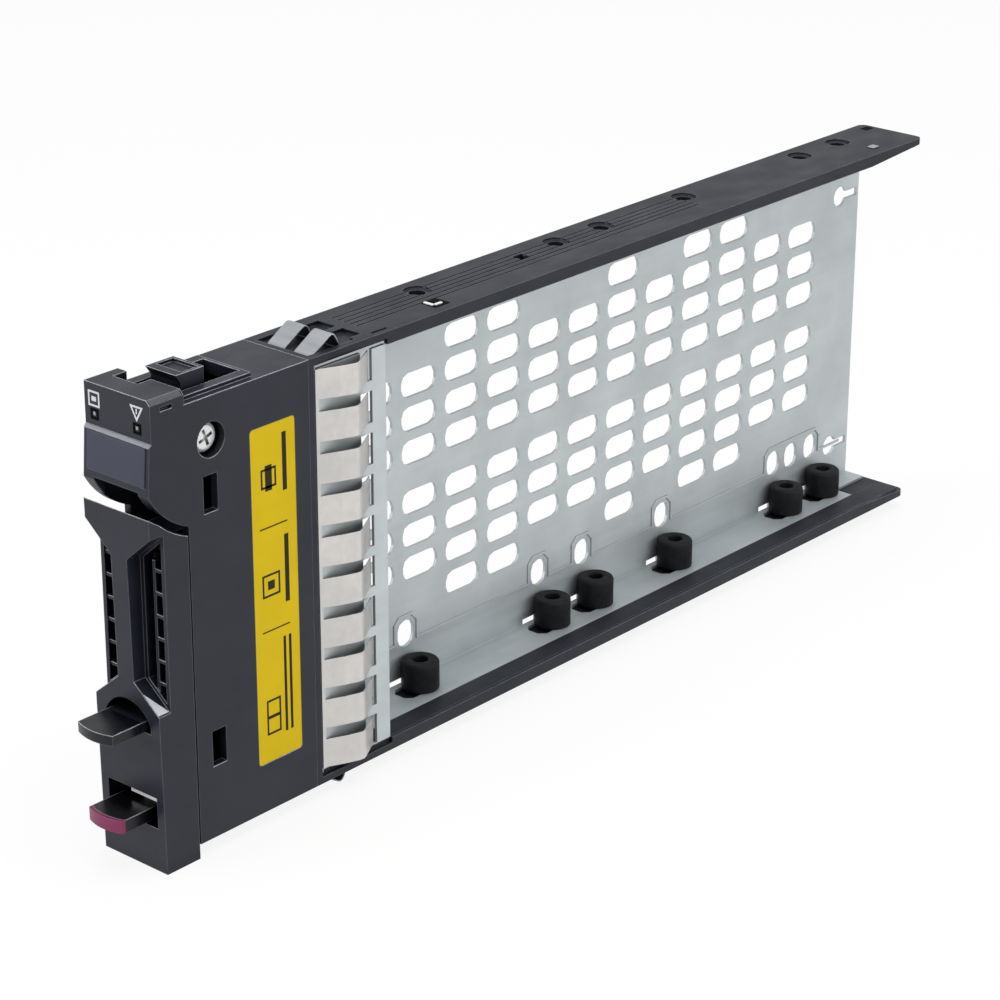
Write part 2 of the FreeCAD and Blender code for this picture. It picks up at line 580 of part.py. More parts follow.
def make_handle_lever():
    """The moulded front lever with its vents, finger tab, arm and hook."""
    body = new_body("handle_lever")
    top_rear, top_turn = [f"sweep_height - sqrt(lever_sweep ^ 2 - (pivot_depth - {depth}) ^ 2)"
                          for depth in ("foot_depth", "lever_turn")]
    side = [("0", "0"), ("foot_depth", "0"), ("foot_depth", top_rear),
            Arc("pivot_depth", "sweep_height", "u", -1), ("lever_turn", top_turn),
            ("-lever_bow", "lever_high")]
    pad(body, "YZ", [side], "-half_width", "half_width")
    back = box("lever_wall - half_width", "half_width - lever_wall", "hollow_bottom", "hollow_top")
    pocket(body, "XZ", [back], "lever_skin", "foot_depth")
    for side_of in (-1, 1):
        recess = recess_outline(side_of, "spine_half", "half_width", "0")
        pocket(body, "XZ", [recess], "-lever_bow", "recess_depth")
        vent = recess_outline(side_of, "spine_half + vent_wall", "half_width - vent_wall", "vent_wall")
        pocket(body, "XZ", [vent], "recess_depth", "lever_skin")
        inner, outer = f"{side_of} * ladder_inner", f"{side_of} * (half_width - vent_wall / 2)"
        ends = (inner, outer) if side_of > 0 else (outer, inner)
        rung = pad(body, "XZ", [box(*ends, "rung_first", "rung_first + rung_thick")],
                   "recess_depth + rung_thick / 2", "lever_skin")
        repeat(body, rung, "Z", "rung_count", "rung_pitch")
        rail = [inner, f"{side_of} * (ladder_inner + rung_thick)"][::side_of]
        rail = box(*rail, "rung_first - rung_pitch / 2", "rung_first + (rung_count - 0.5) * rung_pitch")
        pad(body, "XZ", [rail], "recess_depth + rung_thick / 2", "lever_skin")
    arch_radius = "(dish_half ^ 2 + dish_rise ^ 2) / (2 * dish_rise)"
    low = "tab_top - tab_thick - 0.2"
    hollow = [("-dish_half", low), ("dish_half", low), ("dish_half", "dish_spring"),
              Arc("0", f"dish_spring + dish_rise - {arch_radius}", "v"), ("-dish_half", "dish_spring")]
    pocket(body, "XZ", [hollow], "-lever_bow", "dish_depth")
    bulge_radius = "(tab_half ^ 2 + tab_bulge ^ 2) / (2 * tab_bulge)"
    tab = [("-tab_half", "-tab_reach"), Arc("0", f"{bulge_radius} - tab_bulge - tab_reach", "v"),
           ("tab_half", "-tab_reach"), ("tab_half", "dish_depth"), ("-tab_half", "dish_depth")]
    pad(body, "XY", [tab], "tab_top - tab_thick", "tab_top")
    window = box("-latch_window_half", "latch_window_half", "latch_window_bottom", "latch_window_top")
    pocket(body, "XZ", [window], "-lever_bow", "foot_depth")
    relief = box("-keeper_half", "keeper_half", "keeper_bottom", "latch_window_bottom")
    pocket(body, "XZ", [relief], "lever_skin", "foot_depth")
    pin = Ring("latch_pin_depth", "latch_pin_height", "latch_pin_radius")
    pocket(body, "YZ", [pin], "-half_width", "pin_half")
    root = box("foot_depth - lever_wall", "arm_rear", "arm_root_bottom", "arm_root_top")
    pad(body, "YZ", [root], "-arm_half", "arm_half")
    arm = box("arm_front", "arm_rear", "arm_root_top", "pivot_height")
    pad(body, "YZ", [arm], "-arm_half", "arm_half")
    hub = Ring("pivot_depth", "pivot_height", "hub_radius")
    pad(body, "YZ", [hub], "-arm_half", "arm_half")
    neck = "pivot_height + hub_radius + 1"
    hook = [("hook_waist", neck), ("hook_rear", neck), ("hook_rear", "hook_height"),
            ("hook_tip", "hook_height"), ("hook_waist", "hook_height - 1.6")]
    pad(body, "YZ", [hook], "-hook_half", "hook_half")
    hollow = box("hook_rim - hook_half", "hook_half - hook_rim", "hook_tip + hook_lip",
                 "hook_rear - hook_rim")
    pocket(body, "XY", [hollow], "hook_height - hook_rim", "hook_height")
    waist = box("hook_waist", "hook_rear", "pivot_height", neck)
    pad(body, "YZ", [waist], "-arm_half", "arm_half")
    bore = Ring("pivot_depth", "pivot_height", "screw_radius + running_gap")
    pocket(body, "YZ", [bore], "-arm_half", "arm_half")


def make_pivot_screw():
    """Pan head screw that the lever turns on."""
    shank = doc.addObject("Part::Cylinder", "screw_shank")
    shank.setExpression("Radius", bound("screw_radius"))
    shank.setExpression("Height", bound("counterbore_floor + inner_half"))
    head = doc.addObject("Part::Cylinder", "screw_head")
    head.setExpression("Radius", bound("screw_head_radius"))
    head.setExpression("Height", bound("screw_head_height"))
    head.setExpression("Placement.Base.z", bound("counterbore_floor + inner_half"))
    whole = doc.addObject("Part::Fuse", "screw_blank")
    whole.Base, whole.Tool = shank, head
    drive = doc.addObject("Part::Prism", "screw_drive")
    drive.Polygon = 6
    drive.setExpression("Circumradius", bound("screw_head_radius / 2"))
    drive.setExpression("Height", bound("screw_head_height"))
    drive.setExpression("Placement.Base.z",
                        bound("counterbore_floor + inner_half + screw_head_height / 3"))
    screw = doc.addObject("Part::Cut", "pivot_screw")
    screw.Base, screw.Tool = whole, drive
    screw.Label = "pivot_screw"
    screw.Placement.Rotation = FreeCAD.Rotation(FreeCAD.Vector(0, 1, 0), 90)
    screw.setExpression("Placement.Base.x", bound("-inner_half"))
    screw.setExpression("Placement.Base.y", bound("pivot_depth - foot_depth / 2"))
    screw.setExpression("Placement.Base.z", bound("pivot_height"))


# --- latch ----------------------------------------------------------------

def bowed_edge(depth):
    """Centre of the release tab's curved front, for corners at a given depth."""
    radius = "(latch_half ^ 2 + latch_bulge ^ 2) / (2 * latch_bulge)"
    return f"{radius} - latch_bulge + ({depth})"


def make_release_latch():
    """The release tab with its hub and barb."""
    body = new_body("release_latch")
    front = "cap_thick - latch_reach"
    tab = [("-latch_half", front), Arc("0", bowed_edge(front), "v"), ("latch_half", front),
           ("latch_half", "latch_pin_depth"), ("-latch_half", "latch_pin_depth")]
    pad(body, "XY", [tab], "latch_bottom", "latch_bottom + latch_thick")
    centre = ("latch_pin_depth", "latch_pin_height")
    pad(body, "YZ", [Ring(*centre, "latch_hub_radius")], "-latch_hub_half", "latch_hub_half")
    keeper_back = "wall_front + plastic_wall + barb_gap"
    barb = [("latch_pin_depth", "barb_bottom + 1"), ("latch_pin_depth + 1", "barb_bottom"),
            (f"{keeper_back} + barb_length", "barb_bottom"),
            (f"{keeper_back} + barb_length", "barb_neck"), (keeper_back, "barb_top"),
            (keeper_back, "barb_neck"), ("latch_pin_depth", "barb_neck")]
    pad(body, "YZ", [barb], "-barb_half", "barb_half")
    pocket(body, "YZ", [Ring(*centre, "latch_pin_radius + running_gap")],
           "-latch_hub_half", "latch_hub_half")


def make_latch_cap():
    """The coloured cap on the front of the release tab."""
    body = new_body("latch_cap")
    front, rear = "-latch_reach", "cap_thick - latch_reach"
    cap = [("-latch_half", front), Arc("0", bowed_edge(front), "v"), ("latch_half", front),
           ("latch_half", rear), Arc("0", bowed_edge(rear), "v", -1), ("-latch_half", rear)]
    pad(body, "XY", [cap], "latch_bottom", "latch_bottom + latch_thick")


def make_latch_pin():
    """Steel pin through the lever and the latch."""
    pin = doc.addObject("Part::Cylinder", "latch_pin")
    pin.Label = "latch_pin"
    pin.setExpression("Radius", bound("latch_pin_radius"))
    pin.setExpression("Height", bound("2 * pin_half"))
    pin.Placement.Rotation = FreeCAD.Rotation(FreeCAD.Vector(0, 1, 0), 90)
    pin.setExpression("Placement.Base.x", bound("-pin_half"))
    pin.setExpression("Placement.Base.y", bound("latch_pin_depth - foot_depth / 2"))
    pin.setExpression("Placement.Base.z", bound("latch_pin_height"))


def make_latch_spring():
    """Leaf spring under the window's head that presses on the latch hub."""
    body = new_body("latch_spring")
    top = "latch_window_top"
    rest = "latch_pin_height + latch_hub_radius + running_gap"
    front, edge = "leaf_thick * 3", "leaf_thick * 4"
    leaf = [(front, f"{top} - leaf_lip - leaf_thick"), (edge, f"{top} - leaf_lip - leaf_thick"),
            (edge, f"{top} - leaf_thick"), ("latch_pin_depth - 1.5", f"{top} - leaf_thick"),
            ("latch_pin_depth - 0.6", rest), ("latch_pin_depth + 0.6", rest),
            ("latch_pin_depth + 0.6", f"{rest} + leaf_thick"),
            ("latch_pin_depth - 0.4", f"{rest} + leaf_thick"),
            ("latch_pin_depth - 1.3", top), (front, top)]
    pad(body, "YZ", [leaf], "leaf_left", "leaf_right")


# --- trim on the head and side --------------------------------------------

def make_name_plate():
    """Blank name plate under the indicators."""
    body = new_body("name_plate")
    pad(body, "YZ", [plate_outline("plate_proud")], "-plate_half", "plate_half")


def make_light_pipe(label, side_of):
    """Clear bar that carries a lamp's light to the indicator face."""
    body = new_body(label)
    middle = f"lamp_shift + {side_of} * lamp_offset"
    bar = box(f"{middle} - lamp_size / 2", f"{middle} + lamp_size / 2",
              "lamp_height", "lamp_height + lamp_size")
    pad(body, "XZ", [bar], "face_step", "face_step + lamp_depth")


def make_side_label():
    """Self-adhesive label in the recess on the housing's side."""
    body = new_body("side_label")
    label = round_box("label_front", "label_front + label_length",
                      "label_bottom", "label_bottom + label_tall", "label_corner")
    floor = "half_width - label_sunk"
    pad(body, "YZ", [label], floor, f"{floor} + label_thick")


# --- rails ----------------------------------------------------------------

def bumper_places():
    """Depths of the six bumpers of a rail, front to rear."""
    steps = ("0", "drive_step_one", "drive_step_two")
    front = [f"drive_first + {step}" for step in steps]
    return front + [f"{place} + drive_screw_pitch" for place in front]


def bumper_rings(radius):
    """A ring at each bumper of a rail."""
    return [Ring("bumper_line", place, radius) for place in bumper_places()]


def make_rail_frame():
    """One moulding: both rails, joined by the plate behind the housing."""
    body = new_body("rail_frame")
    closure = box("housing_rear", "bay_front", "rail_bottom", "rail_top")
    pad(body, "YZ", [closure], "-half_width", "half_width")
    plan = [("-half_width", "bay_front"), ("half_width", "bay_front"),
            ("half_width", "caddy_length - rail_corner"),
            Arc("half_width - rail_corner", "caddy_length - rail_corner"),
            ("half_width - rail_corner", "caddy_length"),
            ("rail_corner - half_width", "caddy_length"),
            Arc("rail_corner - half_width", "caddy_length - rail_corner"),
            ("-half_width", "caddy_length - rail_corner")]
    pad(body, "XY", [plan], "rail_bottom", "flange_bottom")
    pad(body, "XY", [plan], "flange_top", "rail_top")
    edge = "flange_edge + flange_gap"
    filler = box(edge, "half_width - lip_width", "bay_front", "caddy_length - rail_corner")
    pad(body, "XY", [filler], "flange_bottom", "flange_bottom + steel")
    pad(body, "XY", [filler], "flange_top - steel", "flange_top")
    front, taper = "return_rear + flange_gap", "caddy_length - rail_taper"
    rear = "caddy_length - rail_corner"
    lower = [(front, "flange_bottom"), (rear, "flange_bottom"), (taper, "rail_bottom + rail_lip"),
             (front, "rail_bottom + rail_lip")]
    upper = [(front, "rail_top - rail_lip"), (taper, "rail_top - rail_lip"),
             (rear, "flange_top"), (front, "flange_top")]
    pad(body, "YZ", [lower, upper], "half_width - lip_width", "half_width")
    plug = box("-plug_side", "plug_side", "rail_bottom + plastic_wall + plug_fit",
               "rail_top - plastic_wall - plug_fit")
    hollow = box("plug_wall - plug_side", "plug_side - plug_wall",
                 "rail_bottom + plastic_wall + plug_fit + plug_wall",
                 "rail_top - plastic_wall - plug_fit - plug_wall")
    pad(body, "XZ", [plug, hollow], "housing_rear - plug_length", "housing_rear")
    holes = bumper_rings("screw_hole_radius")
    wide = "2 * screw_dimple_radius"
    dimples = [flat_slot("bumper_line", place, wide, wide, "(screw_dimple_radius * 0.8)")
               for place in bumper_places()]
    for low, high in (("rail_bottom", "flange_bottom"), ("flange_top", "rail_top")):
        pocket(body, "XY", holes, low, high)
    pocket(body, "XY", dimples, "rail_top - screw_dimple_sunk", "rail_top")
    pocket(body, "XY", dimples, "rail_bottom", "rail_bottom + screw_dimple_sunk")
    groove = box("ridge_first", "ridge_first + ridge_width", "ridge_front", "ridge_rear")
    cut = pocket(body, "XY", [groove], "rail_top - ridge_sunk", "rail_top")
    repeat(body, cut, "X", "ridge_count", "ridge_pitch")
    bed = box("-top_finger_pitch", "top_finger_pitch + 0.4", "bay_front", "pocket_front")
    pocket(body, "XY", [bed], "rail_top - finger_bed_sunk", "rail_top")
    pocket(body, "XY", [bed], "rail_bottom", "rail_bottom + finger_bed_sunk")
    holes = []
    for side_of in (-1, 1):
        middle = f"{side_of} * top_finger_pitch / 2"
        holes.append(box(f"{middle} - top_finger_wide / 2", f"{middle} + top_finger_wide / 2",
                         "pocket_front", "pocket_front + pocket_length"))
    pocket(body, "XY", holes, "rail_top - finger_bed_sunk", "rail_top")
    pocket(body, "XY", holes, "rail_bottom", "rail_bottom + finger_bed_sunk")
    locator = box("bumper_line", "bumper_line + locator_size",
                  "locator_depth - locator_size / 2", "locator_depth + locator_size / 2")
    pocket(body, "XY", [locator], "flange_top", "rail_top")


# --- tray -----------------------------------------------------------------

def make_drive_tray():
    """Folded sheet: side panel, two flanges, front wall and its return."""
    body = new_body("drive_tray")
    outer = "(bend_radius + steel)"
    left, right = f"panel_outer + {outer}", "flange_edge"
    low, high = f"flange_bottom + {outer}", f"flange_top - {outer}"
    section = [(left, "flange_bottom"), (right, "flange_bottom"), (right, "flange_bottom + steel"),
               (left, "flange_bottom + steel"), Arc(left, low, "u", -1), ("panel_inner", low),
               ("panel_inner", high), Arc(left, high, "u", -1), (left, "flange_top - steel"),
               (right, "flange_top - steel"), (right, "flange_top"), (left, "flange_top"),
               Arc(left, high), ("panel_outer", high), ("panel_outer", low), Arc(left, low)]
    pad(body, "XZ", [section], "bay_front", "panel_rear")
    wall = box("panel_inner", "return_edge", "flange_bottom + steel", "flange_top - steel")
    pad(body, "XZ", [wall], "bay_front", "bay_front + steel")
    fold = box("return_edge - steel", "return_edge", "bay_front", "return_rear")
    pad(body, "XY", [fold], "flange_bottom + steel + return_margin",
        "flange_top - steel - return_margin")
    notch = [("tongue_edge", "flange_rear"), ("flange_edge", "flange_rear"),
             ("flange_edge", "panel_rear"), ("tongue_edge", "panel_rear")]
    for low_side, high_side in (("flange_bottom", "flange_bottom + steel"),
                                ("flange_top - steel", "flange_top")):
        pocket(body, "XY", [notch], low_side, high_side)
    reach = "(finger_tall / 2 + tip_margin)"
    tips = box("finger_slot_front", "finger_slot_front + finger_slot_length",
               f"finger_first - {reach}", f"finger_first + {reach}")
    tip_cut = pocket(body, "YZ", [tips], "return_edge - steel", "return_edge")
    repeat(body, tip_cut, "Z", "finger_count", "finger_pitch")
    cut_ports(body)
    seats = [[("bumper_line - seat_half", f"{place} + screw_hole_radius"),
              ("bumper_line - seat_half", f"{place} - seat_ahead + seat_corner"),
              ("bumper_line - seat_half + seat_corner", f"{place} - seat_ahead"),
              ("bumper_line + seat_half - seat_corner", f"{place} - seat_ahead"),
              ("bumper_line + seat_half", f"{place} - seat_ahead + seat_corner"),
              ("bumper_line + seat_half", f"{place} + screw_hole_radius")]
             for place in bumper_places()]
    for low_side, high_side in (("flange_bottom", "flange_bottom + steel"),
                                ("flange_top - steel", "flange_top")):
        pocket(body, "XY", seats, low_side, high_side)
    raise_ridge(body)
    cut_vents(body)


def cut_vents(body):
    """The field of ventilation slots: two groups of rows, and some longer columns."""
    corner = "(vent_tall * 0.38)"
    first = flat_slot("vent_first", "vent_row_top", "vent_length", "vent_tall", corner)
    slot = pocket(body, "YZ", [first], "panel_outer", "panel_inner")
    grid(body, slot, [("Z", "3", "-vent_row_pitch"), ("Z", "2", "-vent_group_drop"),
                      ("Y", "vent_columns", "vent_pitch")])
    above = "vent_row_top + vent_row_pitch"
    drop = "-(vent_group_drop + 4 * vent_row_pitch)"
    for number, count in ((2, "2"), (6, "1"), (8, "2")):
        column = f"vent_first + {number} * vent_pitch"
        extra = flat_slot(column, above, "vent_length", "vent_tall", corner)
        slot = pocket(body, "YZ", [extra], "panel_outer", "panel_inner")
        slot.Refine = False
        steps = [("Z", "2", drop), ("Y", count, "vent_pitch")]
        grid(body, slot, steps[: 1 if count == "1" else 2])


def cut_ports(body):
    """Upright slots over the bumpers, reliefs in the folds, and the keyholes at the rear."""
    ports = []
    places = bumper_places()
    for place in places + [f"{places[-1]} - 7"]:
        ports.append(flat_slot(place, "port_height", "port_wide", "port_tall", "(port_wide * 0.42)"))
    low = "flange_bottom + relief_low"
    for place in places:
        ports.append(box(f"{place} - relief_ahead", f"{place} - relief_end", low, f"{low} + relief_tall"))
    for height in ("keyhole_low", "keyhole_high"):
        ports.append(keyhole("keyhole_depth", height, "keyhole_radius", "keyhole_tail",
                             "keyhole_slot"))
    pocket(body, "YZ", ports, "panel_outer", "panel_inner")


def crown(first, last, inset):
    """Path of the ridge over the upright slots between two depths."""
    low, high = f"{first} - emboss_reach + {inset}", f"{last} + emboss_reach - {inset}"
    top = f"emboss_top - {inset}"
    return [(low, f"emboss_line - {inset}"), (low, f"{top} - emboss_corner"),
            (f"{low} + emboss_corner", top), (f"{high} - emboss_corner", top),
            (high, f"{top} - emboss_corner"), (high, f"emboss_line - {inset}")]


def raise_ridge(body):
    """The embossed ridge that stiffens the panel and steps over every upright slot."""
    places = bumper_places()
    groups = [(place, place) for place in places[:4]] + [(places[4], places[5])]
    over, under = [], []
    for first, last in groups:
        over += crown(first, last, "0")
        under += crown(first, last, "emboss_wide")
    start, end = "return_rear + 1", "panel_rear - emboss_reach"
    ridge = [(start, "emboss_line")] + over + [(end, "emboss_line"), (end, "emboss_line - emboss_wide")]
    ridge += under[::-1] + [(start, "emboss_line - emboss_wide")]
    pad(body, "YZ", [ridge], "panel_inner", "panel_inner + emboss_proud")


# --- spring strips --------------------------------------------------------

def bow_centre(start, end, level, rise):
    """Centre of an arch that rises above a level between two depths."""
    span = f"(({end}) - ({start}))"
    drop = f"({span} ^ 2 / 4 + ({rise}) ^ 2) / (2 * ({rise}))"
    return f"(({start}) + ({end})) / 2", f"({level}) + ({rise}) - {drop}"


def make_side_spring_strip():
    """Ten bent contact fingers on one band, clipped to the front return."""
    body = new_body("side_spring_strip")
    inner, outer = "return_edge", "return_edge + strip_thick"
    foot = "finger_front + finger_base"
    rise = [("0", "finger_front"), ("0", foot), ("finger_proud * 0.6", f"({foot} + finger_knee) / 2"),
            ("finger_proud * 0.95", "finger_knee - 0.9"), ("finger_proud", "finger_knee"),
            ("finger_proud * 0.88", "finger_knee + 0.8"), ("-finger_dip", "finger_tip")]
    finger = [(f"{outer} + {up}", depth) for up, depth in rise]
    finger += [(f"{inner} + {up}", depth) for up, depth in rise[::-1]]
    low = "finger_first - finger_tall / 2"
    one = pad(body, "XY", [finger], low, f"{low} + finger_tall")
    repeat(body, one, "Z", "finger_count", "finger_pitch")
    band = box(inner, outer, "finger_front", foot)
    pad(body, "XY", [band], low, f"{low} + (finger_count - 1) * finger_pitch + finger_tall")


def make_rail_spring_strip(label, upper):
    """Two arched contact fingers on a band in the bed of a rail."""
    body = new_body(label)
    side_of = 1 if upper else -1
    bed = "rail_top - finger_bed_sunk" if upper else "rail_bottom + finger_bed_sunk"
    face = f"({bed}) + {side_of} * strip_thick"
    foot, rise = "bay_front + finger_base", f"{side_of} * (finger_bed_sunk + top_finger_rise)"
    depth, over = bow_centre(foot, "top_finger_end", face, rise)
    depth, under = bow_centre(foot, "top_finger_end", bed, rise)
    finger = [("bay_front", bed), (foot, bed), Arc(depth, under, "v", -side_of),
              ("top_finger_end", bed), ("top_finger_end", face),
              Arc(depth, over, "v", side_of), (foot, face), ("bay_front", face)]
    one = pad(body, "YZ", [finger], "-(top_finger_pitch + top_finger_wide) / 2",
              "(top_finger_wide - top_finger_pitch) / 2")
    repeat(body, one, "X", "2", "top_finger_pitch")
    band = box("bay_front", foot, *((bed, face) if upper else (face, bed)))
    pad(body, "YZ", [band], "-top_finger_pitch / 2", "top_finger_pitch / 2")


# --- bumpers --------------------------------------------------------------

def make_bumper(label, place, upper):
    """Rubber ring between a flange and the drive."""
    ring = doc.addObject("Part::Prism", f"{label}_ring")
    hole = doc.addObject("Part::Prism", f"{label}_hole")
    ring.Polygon, hole.Polygon = 24, 12
    bumper = doc.addObject("Part::Cut", label)
    bumper.Base, bumper.Tool = ring, hole
    bumper.Label = label
    ring.setExpression("Circumradius", bound("bumper_radius"))
    hole.setExpression("Circumradius", bound("screw_hole_radius * 1.04"))
    for item in (ring, hole):
        item.setExpression("Height", bound("bumper_tall"))
    level = "flange_top - steel - bumper_tall" if upper else "flange_bottom + steel"
    bumper.setExpression("Placement.Base.x", bound("bumper_line"))
    bumper.setExpression("Placement.Base.y", bound(f"{place} - foot_depth / 2"))
    bumper.setExpression("Placement.Base.z", bound(level))


# --- build and export -----------------------------------------------------

make_front_housing()
make_handle_lever()
make_pivot_screw()
make_release_latch()
make_latch_cap()
make_latch_pin()
make_latch_spring()
make_name_plate()
make_light_pipe("light_pipe_left", -1)
make_light_pipe("light_pipe_right", 1)
make_side_label()
make_rail_frame()
make_drive_tray()
make_side_spring_strip()
make_rail_spring_strip("top_spring_strip", True)
make_rail_spring_strip("bottom_spring_strip", False)
for number, place in enumerate(bumper_places(), start=1):
    make_bumper(f"bumper_bottom_{number}", place, False)
    make_bumper(f"bumper_top_{number}", place, True)
doc.recompute()

NODES = ["front_housing", "handle_lever", "pivot_screw", "release_latch",
         "latch_cap", "latch_pin", "latch_spring", "name_plate", "light_pipe_left",
         "light_pipe_right", "side_label", "rail_frame", "drive_tray", "side_spring_strip",
         "top_spring_strip", "bottom_spring_strip"]
NODES += [f"bumper_{row}_{number}" for row in ("bottom", "top") for number in range(1, 7)]

for item in doc.Objects:
    if "Invalid" in item.State or "Error" in item.State:
        raise RuntimeError(f"{item.Name} did not build: {item.State}")
os.makedirs("parts", exist_ok=True)
for node in NODES:
    item = doc.getObject(node)
    if item is None or item.Shape.isNull() or not item.Shape.isValid():
        raise RuntimeError(f"{node} has no sound shape")
    if len(item.Shape.Solids) != 1:
        raise RuntimeError(f"{node} has {len(item.Shape.Solids)} solids")
    item.Shape.exportStep(f"parts/{node}.step")
    edge = item.Shape.BoundBox
    print(f"{node:22s} {edge.XMin:8.2f} {edge.XMax:8.2f} {edge.YMin:8.2f} {edge.YMax:8.2f}"
          f" {edge.ZMin:8.2f} {edge.ZMax:8.2f}  {item.Shape.Volume:9.1f}")
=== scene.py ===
import logging
import math
from dataclasses import dataclass, field
from enum import Enum
from typing import Iterable

import bmesh
import bpy
from mathutils import Matrix, Vector


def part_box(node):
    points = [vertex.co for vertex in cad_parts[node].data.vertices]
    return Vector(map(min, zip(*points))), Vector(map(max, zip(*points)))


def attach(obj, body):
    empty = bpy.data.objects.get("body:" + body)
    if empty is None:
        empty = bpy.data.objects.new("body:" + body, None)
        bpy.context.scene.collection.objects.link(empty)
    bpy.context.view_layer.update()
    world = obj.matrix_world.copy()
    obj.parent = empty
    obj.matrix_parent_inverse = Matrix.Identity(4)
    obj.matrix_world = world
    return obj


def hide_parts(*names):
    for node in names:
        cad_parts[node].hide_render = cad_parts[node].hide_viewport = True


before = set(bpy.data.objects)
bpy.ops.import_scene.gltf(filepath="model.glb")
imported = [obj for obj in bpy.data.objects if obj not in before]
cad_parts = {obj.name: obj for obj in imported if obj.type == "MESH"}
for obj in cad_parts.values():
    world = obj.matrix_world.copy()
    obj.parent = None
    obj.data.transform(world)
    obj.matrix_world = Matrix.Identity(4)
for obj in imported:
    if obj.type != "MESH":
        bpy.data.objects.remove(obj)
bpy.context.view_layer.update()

logging.basicConfig(level=logging.INFO, format="%(message)s")
log = logging.getLogger("drive_caddy")

MM = 0.001
WELD = 1e-7
Triple = tuple[float, float, float]
Colour = Triple
Profile = list[tuple[float, float]]


class Level(Enum):
    """Which flange of the tray a piece belongs to."""

    BOTTOM = "bottom"
    TOP = "top"


class Side(Enum):
    """Left or right of the caddy's middle plane."""

    LEFT = "left"
    RIGHT = "right"


# --- materials ------------------------------------------------------------


